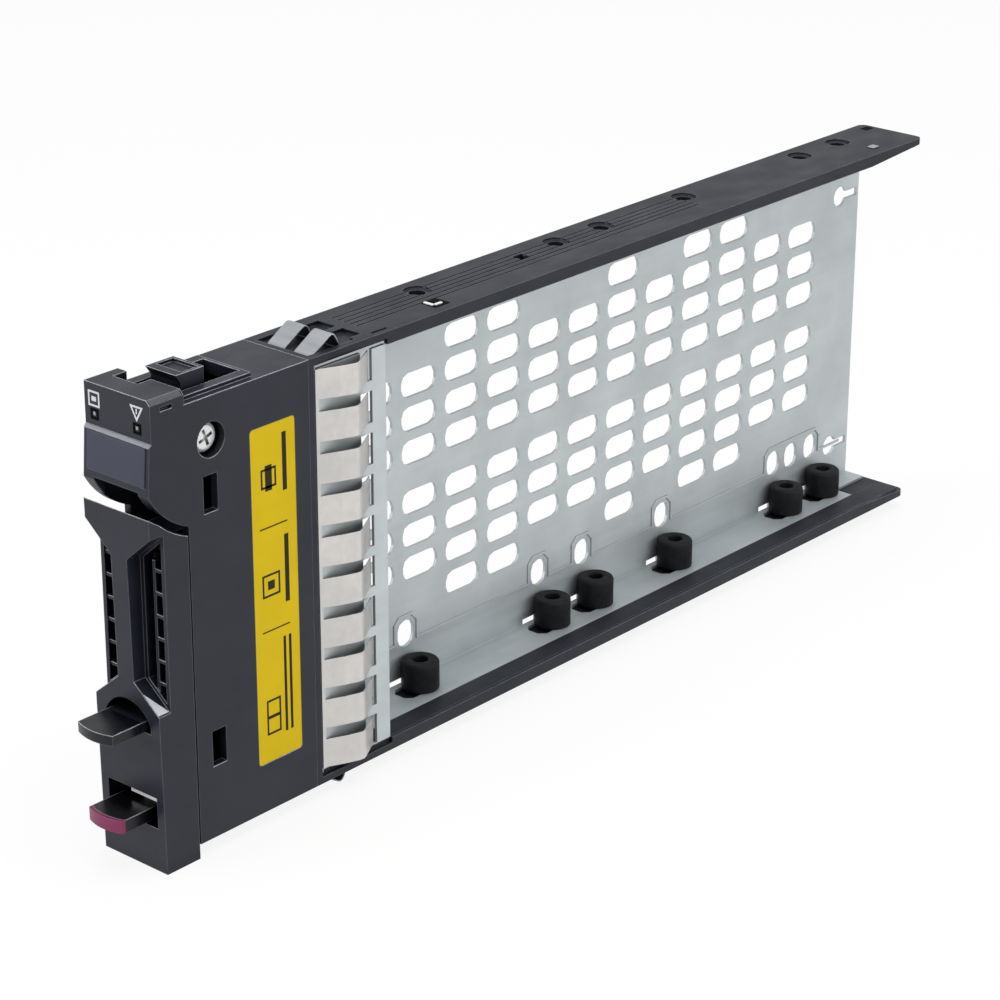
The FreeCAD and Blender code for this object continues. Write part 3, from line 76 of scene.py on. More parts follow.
class Graph:
    """The node tree of one material, with short calls for its usual nodes."""

    def __init__(self, name: str) -> None:
        """Start a material with a Principled shader.

        Args:
            name: Name of the material.
        """
        self.material = bpy.data.materials.new(name)
        self.material.use_nodes = True
        self.nodes = self.material.node_tree.nodes
        self.links = self.material.node_tree.links
        self.nodes.clear()
        self.shader = self.nodes.new("ShaderNodeBsdfPrincipled")
        output = self.nodes.new("ShaderNodeOutputMaterial")
        self.links.new(self.shader.outputs["BSDF"], output.inputs["Surface"])
        self.place = self.nodes.new("ShaderNodeTexCoord").outputs["Object"]

    def set(self, **values: object) -> None:
        """Set sockets of the shader; underscores stand for spaces."""
        for name, value in values.items():
            self.shader.inputs[name.replace("_", " ")].default_value = value

    def feed(self, socket: bpy.types.NodeSocket, target: str) -> None:
        """Link a socket to an input of the shader."""
        self.links.new(socket, self.shader.inputs[target])

    def noise(self, scale: float, detail: float = 3.0, stretch: Triple = (1, 1, 1)) -> bpy.types.NodeSocket:
        """Noise on object coordinates.

        Args:
            scale: Features per metre.
            detail: Octaves of the noise.
            stretch: Factors on the three axes before the noise is read.

        Returns:
            The noise factor socket.
        """
        mapping = self.nodes.new("ShaderNodeMapping")
        mapping.inputs["Scale"].default_value = stretch
        self.links.new(self.place, mapping.inputs["Vector"])
        noise = self.nodes.new("ShaderNodeTexNoise")
        noise.inputs["Scale"].default_value = scale
        noise.inputs["Detail"].default_value = detail
        self.links.new(mapping.outputs["Vector"], noise.inputs["Vector"])
        return noise.outputs["Fac"]

    def spread(self, value: bpy.types.NodeSocket, low: float, high: float,
               start: float = 0.0, end: float = 1.0) -> bpy.types.NodeSocket:
        """Map a value from start..end to low..high, clamped."""
        node = self.nodes.new("ShaderNodeMapRange")
        for name, amount in (("From Min", start), ("From Max", end), ("To Min", low), ("To Max", high)):
            node.inputs[name].default_value = amount
        self.links.new(value, node.inputs["Value"])
        return node.outputs["Result"]

    def mottle(self, noise: bpy.types.NodeSocket, low: float, high: float) -> bpy.types.NodeSocket:
        """Map the middle of a noise to low..high."""
        return self.spread(noise, low, high, 0.3, 0.7)

    def blend(self, factor: bpy.types.NodeSocket, first: object, second: object) -> bpy.types.NodeSocket:
        """Mix two colours; each is a colour or a socket."""
        node = self.nodes.new("ShaderNodeMix")
        node.data_type = "RGBA"
        self.links.new(factor, node.inputs["Factor"])
        colours = [item for item in node.inputs if item.type == "RGBA"]
        for target, item in zip(colours, (first, second)):
            if isinstance(item, bpy.types.NodeSocket):
                self.links.new(item, target)
            else:
                target.default_value = (*item, 1.0)
        return [item for item in node.outputs if item.type == "RGBA"][0]

    def maths(self, operation: str, first: object, second: object = 0.0) -> bpy.types.NodeSocket:
        """One Math node; each operand is a number or a socket."""
        node = self.nodes.new("ShaderNodeMath")
        node.operation = operation
        for index, item in enumerate((first, second)):
            if isinstance(item, bpy.types.NodeSocket):
                self.links.new(item, node.inputs[index])
            else:
                node.inputs[index].default_value = item
        return node.outputs["Value"]

    def part(self, vector: bpy.types.NodeSocket, axis: str) -> bpy.types.NodeSocket:
        """Part of a vector along an axis."""
        parts = self.nodes.new("ShaderNodeSeparateXYZ")
        self.links.new(vector, parts.inputs["Vector"])
        return parts.outputs[axis]

    def along(self, axis: str) -> bpy.types.NodeSocket:
        """Place of the surface point along an axis, in metres."""
        return self.part(self.place, axis)

    def facing(self, axis: str) -> bpy.types.NodeSocket:
        """How squarely the surface faces along an axis, 0 to 1."""
        normal = self.nodes.new("ShaderNodeTexCoord").outputs["Normal"]
        return self.maths("ABSOLUTE", self.part(normal, axis))

    def soft_edges(self, radius: float) -> bpy.types.NodeSocket:
        """Normal that rounds the edges of a moulding or a sheet."""
        node = self.nodes.new("ShaderNodeBevel")
        node.samples = 6
        node.inputs["Radius"].default_value = radius
        return node.outputs["Normal"]

    def edge_factor(self, normal: bpy.types.NodeSocket) -> bpy.types.NodeSocket:
        """0 on flat ground and towards 1 on an edge, from the rounded normal."""
        geometry = self.nodes.new("ShaderNodeNewGeometry")
        dot = self.nodes.new("ShaderNodeVectorMath")
        dot.operation = "DOT_PRODUCT"
        self.links.new(normal, dot.inputs[0])
        self.links.new(geometry.outputs["Normal"], dot.inputs[1])
        full_edge, flat_ground = 0.80, 0.985
        return self.spread(dot.outputs["Value"], 1.0, 0.0, full_edge, flat_ground)

    def upward_highlight(self, normal: bpy.types.NodeSocket, least: float) -> bpy.types.NodeSocket:
        """1 where a rounded edge looks up, down to a least share elsewhere; it steers the painted edge
        highlight towards upward edges.
        """
        level_edge, raised_edge = 0.1, 0.55
        return self.spread(self.part(normal, "Z"), least, 1.0, level_edge, raised_edge)

    def occlusion_shade(self, reach: float) -> bpy.types.NodeSocket:
        """Ambient occlusion factor, 0 deep inside a recess and 1 on open ground; the finishes use it to
        paint shade into recesses.

        Args:
            reach: How far a neighbouring wall still darkens, in metres.

        Returns:
            The factor socket.
        """
        node = self.nodes.new("ShaderNodeAmbientOcclusion")
        node.samples = 8
        node.inputs["Distance"].default_value = reach
        shut_in, open_ground = 0.15, 0.75
        return self.spread(node.outputs["AO"], 0.0, 1.0, shut_in, open_ground)

    def bump(self, height: bpy.types.NodeSocket, distance: float, strength: float,
             normal: bpy.types.NodeSocket) -> bpy.types.NodeSocket:
        """Bump on top of another normal.

        Args:
            height: Height socket, 0 to 1.
            distance: Height in metres.
            strength: Share of the bump that shows.
            normal: Normal to start from.

        Returns:
            The bumped normal.
        """
        node = self.nodes.new("ShaderNodeBump")
        node.inputs["Strength"].default_value = strength
        node.inputs["Distance"].default_value = distance
        self.links.new(height, node.inputs["Height"])
        self.links.new(normal, node.inputs["Normal"])
        return node.outputs["Normal"]


def dimmed(colour: Colour, share: float) -> Colour:
    """A share of a colour."""
    return tuple(part * share for part in colour)


@dataclass(frozen=True)
class MouldedPlastic:
    """Injection moulded plastic with a fine spark texture, painted highlights on its edges and painted shade
    in its recesses.
    """

    name: str
    colour: Colour
    edge_highlight_colour: Colour
    roughness: float = 0.40
    grain: float = 5200.0
    edge_radius: float = 0.30 * MM
    recess_reach: float = 7.0 * MM
    gloss: float = 0.30
    low_edge_highlight: float = 0.16
    clouding: float = 0.18
    thumbed_front: float | None = None
    thumbed_shade: float = 0.35
    thumbed_polish: float = 0.17

    def make(self) -> bpy.types.Material:
        """Build the material."""
        graph = Graph(self.name)
        rounded = graph.soft_edges(self.edge_radius)
        cloud = graph.noise(60.0, 4.0)
        body = graph.blend(graph.mottle(cloud, 0, 1), dimmed(self.colour, 1 - self.clouding),
                           dimmed(self.colour, 1 + self.clouding))
        smudge = graph.noise(170.0, 5.0, (1.0, 0.6, 1.4))
        rough = graph.mottle(smudge, self.roughness - 0.06, self.roughness + 0.1)
        if self.thumbed_front is not None:
            fade = 0.3 * MM
            thumbed = graph.spread(graph.along("Y"), 1, 0, self.thumbed_front - fade, self.thumbed_front)
            body = graph.blend(thumbed, body, dimmed(self.colour, self.thumbed_shade))
            rough = graph.maths("SUBTRACT", rough, graph.maths("MULTIPLY", thumbed, self.thumbed_polish))
        # Painted highlight: edges are lightened towards the edge colour, upward edges the most.
        highlight_share = graph.maths("MULTIPLY", graph.edge_factor(rounded),
                          graph.spread(graph.noise(420.0, 5.0), 0.6, 1.0, 0.35, 0.65))
        highlight_share = graph.maths("MULTIPLY", highlight_share, graph.upward_highlight(rounded, self.low_edge_highlight))
        highlighted = graph.blend(highlight_share, body, self.edge_highlight_colour)
        # Painted shade: recesses darken towards a tenth of the colour.
        graph.feed(graph.blend(graph.occlusion_shade(self.recess_reach), dimmed(self.colour, 0.1), highlighted),
                   "Base Color")
        graph.feed(rough, "Roughness")
        graph.set(Specular_IOR_Level=self.gloss)
        graph.feed(graph.bump(graph.noise(self.grain, 2.0), 0.03 * MM, 0.35, rounded), "Normal")
        return graph.material


@dataclass(frozen=True)
class PlatedSteel:
    """Zinc plated sheet: soft mottled grey with faint rolling streaks and duller punched edges, and painted
    shade in its recesses.
    """

    name: str
    colour: Colour
    dull_colour: Colour
    metallic: float = 0.75
    roughness: float = 0.42
    streak: Triple = (3.0, 0.12, 3.0)
    edge_radius: float = 0.15 * MM
    recess_reach: float = 4.0 * MM
    recess_shade: float = 0.3
    streak_share: float = 0.35
    punched: tuple[float, float] | None = None
    punched_colour: Colour = (0.30, 0.32, 0.34)

    def make(self) -> bpy.types.Material:
        """Build the material."""
        graph = Graph(self.name)
        rounded = graph.soft_edges(self.edge_radius)
        mottle = graph.noise(95.0, 6.0)
        streaks = graph.noise(260.0, 4.0, self.streak)
        tone = graph.maths("ADD", graph.maths("MULTIPLY", mottle, 1 - self.streak_share),
                           graph.maths("MULTIPLY", streaks, self.streak_share))
        sheet = graph.blend(graph.spread(tone, 0, 1, 0.36, 0.64), self.dull_colour, self.colour)
        if self.punched is not None:
            low, high = self.punched
            height = graph.along("Z")
            between = graph.maths("MULTIPLY", graph.maths("GREATER_THAN", height, low),
                                  graph.maths("LESS_THAN", height, high))
            edge = graph.maths("MULTIPLY", between, graph.maths("LESS_THAN", graph.facing("X"), 0.5))
            sheet = graph.blend(edge, sheet, self.punched_colour)
        # Painted shade: recesses darken towards a share of the dull colour.
        shade = dimmed(self.dull_colour, self.recess_shade)
        graph.feed(graph.blend(graph.occlusion_shade(self.recess_reach), shade, sheet), "Base Color")
        graph.set(Metallic=self.metallic)
        graph.feed(graph.mottle(streaks, self.roughness - 0.07, self.roughness + 0.08), "Roughness")
        graph.feed(graph.bump(graph.noise(1800.0, 3.0, self.streak), 0.01 * MM, 0.3, rounded), "Normal")
        return graph.material


@dataclass(frozen=True)
class Rubber:
    """Black moulded rubber with a dusty bloom."""

    name: str
    colour: Colour
    bloom: Colour

    def make(self) -> bpy.types.Material:
        """Build the material."""
        graph = Graph(self.name)
        rounded = graph.soft_edges(0.2 * MM)
        dust = graph.noise(900.0, 5.0)
        graph.feed(graph.blend(graph.spread(dust, 0, 1, 0.45, 0.75), self.colour, self.bloom), "Base Color")
        graph.feed(graph.mottle(dust, 0.52, 0.72), "Roughness")
        graph.set(Specular_IOR_Level=0.22)
        graph.feed(graph.bump(graph.noise(3800.0, 3.0), 0.04 * MM, 0.4, rounded), "Normal")
        return graph.material


@dataclass(frozen=True)
class Film:
    """Printed film: even colour with a slight orange peel; the same finish also makes flat patches of
    painted shade and a painted reflection.
    """

    name: str
    colour: Colour
    roughness: float = 0.45
    gloss: float = 0.12

    def make(self) -> bpy.types.Material:
        """Build the material."""
        graph = Graph(self.name)
        rounded = graph.soft_edges(0.05 * MM)
        fading = graph.mottle(graph.noise(120.0, 5.0), 0, 1)
        graph.feed(graph.blend(fading, dimmed(self.colour, 0.92), self.colour), "Base Color")
        smudge = graph.noise(300.0, 4.0)
        graph.feed(graph.mottle(smudge, self.roughness - 0.05, self.roughness + 0.08), "Roughness")
        graph.set(Specular_IOR_Level=self.gloss)
        graph.feed(graph.bump(graph.noise(1500.0, 2.0), 0.01 * MM, 0.3, rounded), "Normal")
        return graph.material


@dataclass
class Finishes:
    """Every finish of the caddy, made once."""

    made: dict[str, bpy.types.Material] = field(default_factory=dict)

    def __post_init__(self) -> None:
        """Make the materials."""
        recipes = (
            MouldedPlastic("housing_plastic", (0.0105, 0.0125, 0.0215), (0.90, 0.92, 1.0)),
            MouldedPlastic("lever_plastic", (0.0105, 0.0125, 0.0215), (0.90, 0.92, 1.0),
                           thumbed_front=-4.8 * MM),
            # A paler plastic, painted as a highlight on the head's bevel.
            MouldedPlastic("bevel_sheen_plastic", (0.085, 0.09, 0.105), (0.40, 0.41, 0.44), roughness=0.3,
                           recess_reach=0.2 * MM),
            # A pale plastic, painted as a highlight on the head's ledge.
            MouldedPlastic("ledge_sheen_plastic", (0.26, 0.27, 0.30), (0.40, 0.41, 0.44), roughness=0.3,
                           recess_reach=0.2 * MM),
            MouldedPlastic("rail_plastic", (0.013, 0.0145, 0.022), (0.20, 0.205, 0.24), roughness=0.5),
            MouldedPlastic("tab_plastic", (0.004, 0.004, 0.006), (0.75, 0.75, 0.80), roughness=0.24),
            MouldedPlastic("cap_plastic", (0.19, 0.020, 0.080), (0.40, 0.10, 0.22), roughness=0.32),
            MouldedPlastic("plate_plastic", (0.034, 0.037, 0.064), (0.10, 0.10, 0.13), roughness=0.34),
            MouldedPlastic("glint_plastic", (0.30, 0.31, 0.33), (0.5, 0.5, 0.5), roughness=0.3,
                           recess_reach=0.2 * MM),
            PlatedSteel("zinc_plate", (0.545, 0.59, 0.60), (0.46, 0.50, 0.515), metallic=0.5, roughness=0.48,
                        recess_shade=0.62, punched=(11.5 * MM, 73.0 * MM),
                        punched_colour=(0.40, 0.425, 0.44)),
            PlatedSteel("dull_steel", (0.40, 0.42, 0.44), (0.31, 0.325, 0.34), metallic=0.8, roughness=0.38,
                        streak=(0.3, 3.0, 3.0), edge_radius=0.06 * MM, recess_shade=0.1),
            # A pale, less metallic copy of the spring steel: a painted highlight on the latch spring, its
            # lip and the rail's pale L.
            PlatedSteel("leaf_sheen_steel", (0.86, 0.87, 0.88), (0.74, 0.75, 0.76), metallic=0.3, roughness=0.4,
                        streak=(0.3, 3.0, 3.0), edge_radius=0.05 * MM, recess_shade=0.9),
            PlatedSteel("spring_steel", (0.66, 0.64, 0.615), (0.56, 0.545, 0.525), metallic=0.85,
                        roughness=0.36, streak=(0.3, 3.0, 3.0), edge_radius=0.06 * MM, recess_shade=0.1),
            PlatedSteel("screw_steel", (0.93, 0.94, 0.95), (0.74, 0.75, 0.76), metallic=0.45, roughness=0.26,
                        streak=(1.0, 1.0, 1.0), edge_radius=0.08 * MM, recess_reach=0.9 * MM,
                        recess_shade=0.12),
            Rubber("bumper_rubber", (0.004, 0.0045, 0.0055), (0.012, 0.0125, 0.014)),
            Film("label_film", (0.66, 0.47, 0.002)),
            Film("label_ink", (0.022, 0.018, 0.008), roughness=0.5),
            # Pale ink for the icons, also used for a painted reflection in the lever's right recess.
            Film("pale_ink_and_glint", (0.62, 0.63, 0.67), roughness=0.5),
            Film("lamp_window", (0.004, 0.004, 0.006), roughness=0.25, gloss=0.2),
            # A near-black film painted as shade: inside holes on the rail and round the light windows.
            Film("hole_shade_black", (0.0015, 0.0015, 0.002), roughness=0.6, gloss=0.03),
        )
        for recipe in recipes:
            self.made[recipe.name] = recipe.make()
            log.info("finish %s", recipe.name)

    def dress(self, node: str, finish: str) -> None:
        """Give a CAD node a finish in every material slot."""
        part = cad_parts[node]
        if not part.material_slots:
            part.data.materials.append(self.made[finish])
        for slot in part.material_slots:
            slot.material = self.made[finish]
        log.info("node %s wears %s", node, finish)


# --- pieces ---------------------------------------------------------------


def finish_piece(name: str, shape: bmesh.types.BMesh, material: bpy.types.Material, body: str,
                 smooth: bool = False) -> bpy.types.Object:
    """Turn a bmesh into a piece that rides on a body.

    Args:
        name: Name of the piece.
        shape: The bmesh, in metres in the row frame; it is freed.
        material: Finish of the piece.
        body: CAD body that it rides on.
        smooth: Whether faces are shaded smooth.

    Returns:
        The new object.
    """
    bmesh.ops.remove_doubles(shape, verts=shape.verts[:], dist=WELD)
    bmesh.ops.recalc_face_normals(shape, faces=shape.faces[:])
    mesh = bpy.data.meshes.new(name)
    shape.to_mesh(mesh)
    shape.free()
    for face in mesh.polygons:
        face.use_smooth = smooth
    mesh.materials.append(material)
    piece = bpy.data.objects.new(name, mesh)
    bpy.context.scene.collection.objects.link(piece)
    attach(piece, body)
    log.info("piece %s: %d faces on %s", name, len(mesh.polygons), body)
    return piece


def spun(profile: Iterable[tuple[float, float]], axis: Vector, centre: Vector, steps: int = 40,
         closed: bool = True) -> bmesh.types.BMesh:
    """Turn a profile about an axis.

    Args:
        profile: Corners (radius, distance along the axis), in metres.
        axis: Direction of the axis.
        centre: Point that distance 0 stands for.
        steps: Steps of the full turn.
        closed: Whether the last corner joins the first; else both lie on the axis.

    Returns:
        The turned shape.
    """
    shape = bmesh.new()
    corners = [shape.verts.new((radius, 0.0, along)) for radius, along in profile]
    for corner, following in zip(corners, corners[1:] + corners[:closed]):
        shape.edges.new((corner, following))
    bmesh.ops.spin(shape, geom=shape.verts[:] + shape.edges[:], cent=(0, 0, 0), axis=(0, 0, 1),
                   angle=2 * math.pi, steps=steps, use_merge=True)
    turn = Vector((0, 0, 1)).rotation_difference(axis).to_matrix().to_4x4()
    bmesh.ops.transform(shape, matrix=Matrix.Translation(centre) @ turn, verts=shape.verts[:])
    return shape


def cuboid(size: Iterable[float], centre: Vector | None = None) -> bmesh.types.BMesh:
    """A sharp block.

    Args:
        size: Its three sizes.
        centre: Its middle; the origin when left out.

    Returns:
        The block.
    """
    shape = bmesh.new()
    bmesh.ops.create_cube(shape, size=1.0)
    bmesh.ops.scale(shape, vec=Vector(size), verts=shape.verts[:])
    if centre is not None:
        bmesh.ops.translate(shape, vec=centre, verts=shape.verts[:])
    return shape


def raise_faces(shape: bmesh.types.BMesh, offset: Vector) -> None:
    """Give flat faces a thickness.

    Args:
        shape: A bmesh that holds only those faces.
        offset: How far, and which way, the new upper faces move.
    """
    grown = bmesh.ops.extrude_face_region(shape, geom=shape.faces[:])
    lifted = [item for item in grown["geom"] if isinstance(item, bmesh.types.BMVert)]
    bmesh.ops.translate(shape, vec=offset, verts=lifted)


def ribbon(shape: bmesh.types.BMesh, line: list[Vector], wide: float) -> None:
    """Add an open strip that follows a line in one X plane.

    Args:
        shape: The bmesh to add to.
        line: Points of the strip's left edge.
        wide: Width of the strip along X.
    """
    corners = [shape.verts.new(point) for point in line]
    edges = [shape.edges.new(pair) for pair in zip(corners, corners[1:])]
    grown = bmesh.ops.extrude_edge_only(shape, edges=edges)
    across = [item for item in grown["geom"] if isinstance(item, bmesh.types.BMVert)]
    bmesh.ops.translate(shape, vec=(wide, 0, 0), verts=across)


def thicken(shape: bmesh.types.BMesh, thick: float) -> None:
    """Turn open strips into sheets of even thickness."""
    bmesh.ops.recalc_face_normals(shape, faces=shape.faces[:])
    bmesh.ops.solidify(shape, geom=shape.faces[:], thickness=thick)


def slab(low: Vector, high: Vector, bevel: float) -> bmesh.types.BMesh:
    """A small block with bevelled edges.

    Args:
        low: Its lowest corner.
        high: Its highest corner.
        bevel: Width of the bevels.

    Returns:
        The block.
    """
    shape = cuboid(high - low)
    bmesh.ops.bevel(shape, geom=shape.edges[:], offset=bevel, affect="EDGES", segments=1, profile=0.5,
                    material=-1)
    bmesh.ops.translate(shape, vec=(low + high) / 2, verts=shape.verts[:])
    return shape


def outline(shape: bmesh.types.BMesh, sides: int, radius: float, line: float, thick: float) -> None:
    """Add a flat ring with straight sides that lies on the XY plane.

    Args:
        shape: The bmesh to add to.
        sides: Number of sides.
        radius: Distance of its corners from the middle.
        line: Width of the ring.
        thick: Height of the ring above the plane.
    """
    for size in (radius, radius - line / math.cos(math.pi / sides)):
        bmesh.ops.create_circle(shape, segments=sides, radius=size)
    bmesh.ops.bridge_loops(shape, edges=shape.edges[:])
    raise_faces(shape, Vector((0, 0, thick)))


def with_arcs(profile: list[Triple], steps: int = 4) -> Profile:
    """Round the corners of a closed profile.

    Args:
        profile: Corners (u, v, radius); a radius of 0 keeps the corner sharp.
        steps: Segments in each rounded corner.

    Returns:
        The corners with their arcs, in the same order.
    """
    points: Profile = []
    for index, (u, v, radius) in enumerate(profile):
        here = Vector((u, v))
        if radius <= 0:
            points.append((u, v))
            continue
        before = (Vector(profile[index - 1][:2]) - here).normalized()
        after = (Vector(profile[(index + 1) % len(profile)][:2]) - here).normalized()
        half = before.angle(after) / 2
        reach = radius / math.tan(half)
        centre = here + (before + after).normalized() * radius / math.sin(half)
        first, last = here + before * reach - centre, here + after * reach - centre
        sweep = first.angle_signed(last)
        for step in range(steps + 1):
            arm = Matrix.Rotation(-sweep * step / steps, 2) @ first
            points.append(tuple(centre + arm))
    return points


@dataclass
class Bumpers:
    """The rubber bumpers on both flanges, with rounded rims."""

    finishes: Finishes
    rim: float = 0.7 * MM
    bore: float = 1.5 * MM
    foot_rim: float = 0.3 * MM
    bore_rim: float = 0.25 * MM
    upper_squeeze: float = 1.4 * MM
    count: int = 6

    def profile(self, radius: float, tall: float, level: Level) -> Profile:
        """Half section of a bumper; its rounded end is the one that meets the drive."""
        points = with_arcs([(self.bore, 0.0, 0.0), (radius, 0.0, self.foot_rim), (radius, tall, self.rim),
                            (self.bore, tall, self.bore_rim)])
        if level is Level.TOP:
            points = [(u, tall - v) for u, v in reversed(points)]
        return points

    def build(self) -> None:
        """Build and place every bumper."""
        for level in Level:
            for place in range(1, self.count + 1):
                node = f"bumper_{level.value}_{place}"
                low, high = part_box(node)
                middle = (low + high) / 2
                foot = low.z + (self.upper_squeeze if level is Level.TOP else 0.0)
                shape = spun(self.profile((high.x - low.x) / 2, high.z - foot, level), Vector((0, 0, 1)),
                             Vector((middle.x, middle.y, foot)))
                rubber = self.finishes.made["bumper_rubber"]
                piece = finish_piece(f"rubber_{level.value}_{place}", shape, rubber, "base",
                                     smooth=True)
                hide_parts(node)


@dataclass
class PivotScrew:
    """The pan head screw that the lever turns on, with its cross recess."""

    finishes: Finishes
    head_tall: float = 1.2 * MM
    head_rise: float = 0.75 * MM
    head_grow: float = 0.2 * MM
    crown_share: float = 0.80
    crown_bend: float = 0.5 * MM
    rim_drop: float = 0.45 * MM
    crown_drop: float = 0.08 * MM
    shank: float = 1.5 * MM
    blade: float = 0.6 * MM
    reach: float = 3.1 * MM
    depth: float = 0.6 * MM
    cross_turn: float = 20.0

    def build(self) -> None:
        """Turn the screw, cut its cross and let it stand for the plain one."""
        low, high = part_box("pivot_screw")
        radius, tall = (high.z - low.z) / 2, high.x - low.x
        collar = tall - self.head_tall
        top = collar + self.head_tall + self.head_rise
        radius += self.head_grow
        crown = (radius * self.crown_share, top - self.crown_drop, self.crown_bend)
        profile = with_arcs([(0.0, 0.0, 0.0), (self.shank, 0.0, 0.0), (self.shank, collar, 0.0),
                             (radius, collar, 0.0), (radius, top - self.rim_drop, 0.0), crown,
                             (0.0, top, 0.0)])
        centre = Vector((low.x, (low.y + high.y) / 2, (low.z + high.z) / 2))
        shape = spun(profile, Vector((1, 0, 0)), centre, closed=False)
        screw = finish_piece("screw_pivot", shape, self.finishes.made["screw_steel"], "base")
        for turn in (self.cross_turn, self.cross_turn + 90):
            self.cut(screw, Vector((low.x + top, centre.y, centre.z)), math.radians(turn))
        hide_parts("pivot_screw")

    def cut(self, screw: bpy.types.Object, top: Vector, turn: float) -> None:
        """Cut one blade of the cross into the head.

        Args:
            screw: The screw.
            top: Middle of the head's outer face.
            turn: Turn of the blade about the screw's axis, in radians.
        """
        blade = cuboid((2 * self.depth, self.reach, self.blade))
        bmesh.ops.transform(blade, matrix=Matrix.Translation(top) @ Matrix.Rotation(turn, 4, "X"),
                            verts=blade.verts[:])
        mesh = bpy.data.meshes.new("screw_blade")
        blade.to_mesh(mesh)
        blade.free()
        tool = bpy.data.objects.new("screw_blade", mesh)
        bpy.context.scene.collection.objects.link(tool)
        cutter = screw.modifiers.new("cross", "BOOLEAN")
        cutter.operation = "DIFFERENCE"
        cutter.solver = "EXACT"
        cutter.object = tool
        bpy.context.view_layer.update()
        cut = bpy.data.meshes.new_from_object(screw.evaluated_get(bpy.context.evaluated_depsgraph_get()))
        screw.modifiers.remove(cutter)
        screw.data = cut
        bpy.data.objects.remove(tool)


@dataclass
class RailFingers:
    """Two bent contact fingers on a band in the bed of a rail.

    Attributes:
        lefts: Left edges of the two fingers.
        band: Left and right edge of the band that they start from.
        rise: Bends of a finger: depth behind the strip's front and height above the rail, in millimetres.
    """

    finishes: Finishes
    thick: float = 0.22 * MM
    wide: float = 4.1 * MM
    lefts: tuple[float, float] = (-4.2 * MM, 2.15 * MM)
    band: tuple[float, float] = (-5.0 * MM, 6.2 * MM)
    rise: tuple[tuple[float, float], ...] = ((0.0, -0.5), (0.9, -0.5), (1.3, -0.2), (5.2, 2.1), (5.8, 2.35),
                                             (6.4, 2.25), (6.9, 1.7), (7.7, 0.1), (8.2, -0.6))

    def build(self) -> None:
        """Build the fingers of both rails."""
        for level in Level:
            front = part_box(f"{level.value}_spring_strip")[0].y
            rail_low, rail_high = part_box("rail_frame")
            edge, up = (rail_high.z, 1) if level is Level.TOP else (rail_low.z, -1)
            shape = bmesh.new()
            line = [(front + depth * MM, edge + up * lift * MM) for depth, lift in self.rise]
            for left in self.lefts:
                ribbon(shape, [Vector((left, depth, height)) for depth, height in line], self.wide)
            first, last = self.band
            ribbon(shape, [Vector((first, depth, height - up * self.thick)) for depth, height in line[:2]],
                   last - first)
            thicken(shape, self.thick)
            piece = finish_piece(f"rail_fingers_{level.value}", shape, self.finishes.made["dull_steel"],
                                 "base")
            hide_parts(f"{level.value}_spring_strip")


@dataclass(frozen=True)
class RailMark:
    """One small block on the rail, in millimetres: its middle across and along the rail, and its size."""

    name: str
    finish: str
    middle: tuple[float, float]
    size: Triple


@dataclass
class RailMarks:
    """Small marks on the outer face of the upper rail: a rivet, near-black patches painted as the shade of
    holes, and a pale L painted as a highlight at one of them.
    """

    finishes: Finishes
    bevel_share: float = 0.25
    marks: tuple[RailMark, ...] = (
        RailMark("rail_locator_shade", "hole_shade_black", (3.9, 68.3), (3.4, 3.8, 0.06)),
        RailMark("rail_locator_glint_tab", "leaf_sheen_steel", (3.5, 66.9), (2.2, 0.6, 0.3)),
        RailMark("rail_locator_glint_foot", "leaf_sheen_steel", (4.7, 68.1), (0.6, 1.8, 0.3)),
        RailMark("rail_dash", "hole_shade_black", (6.4, 51.1), (0.45, 3.6, 0.06)),
        RailMark("rail_rivet", "dull_steel", (4.3, 201.2), (1.7, 1.9, 0.25)),
        RailMark("rail_rear_shade", "hole_shade_black", (-4.9, 212.0), (1.7, 2.4, 0.06)),
    )

    def build(self) -> None:
        """Build the marks."""
        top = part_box("rail_frame")[1].z
        for mark in self.marks:
            half = Vector(mark.size) * MM / 2
            middle = Vector((mark.middle[0] * MM, mark.middle[1] * MM, top + half.z))
            shape = slab(middle - half, middle + half, min(mark.size) * self.bevel_share * MM)
            finish_piece(mark.name, shape, self.finishes.made[mark.finish], "base")


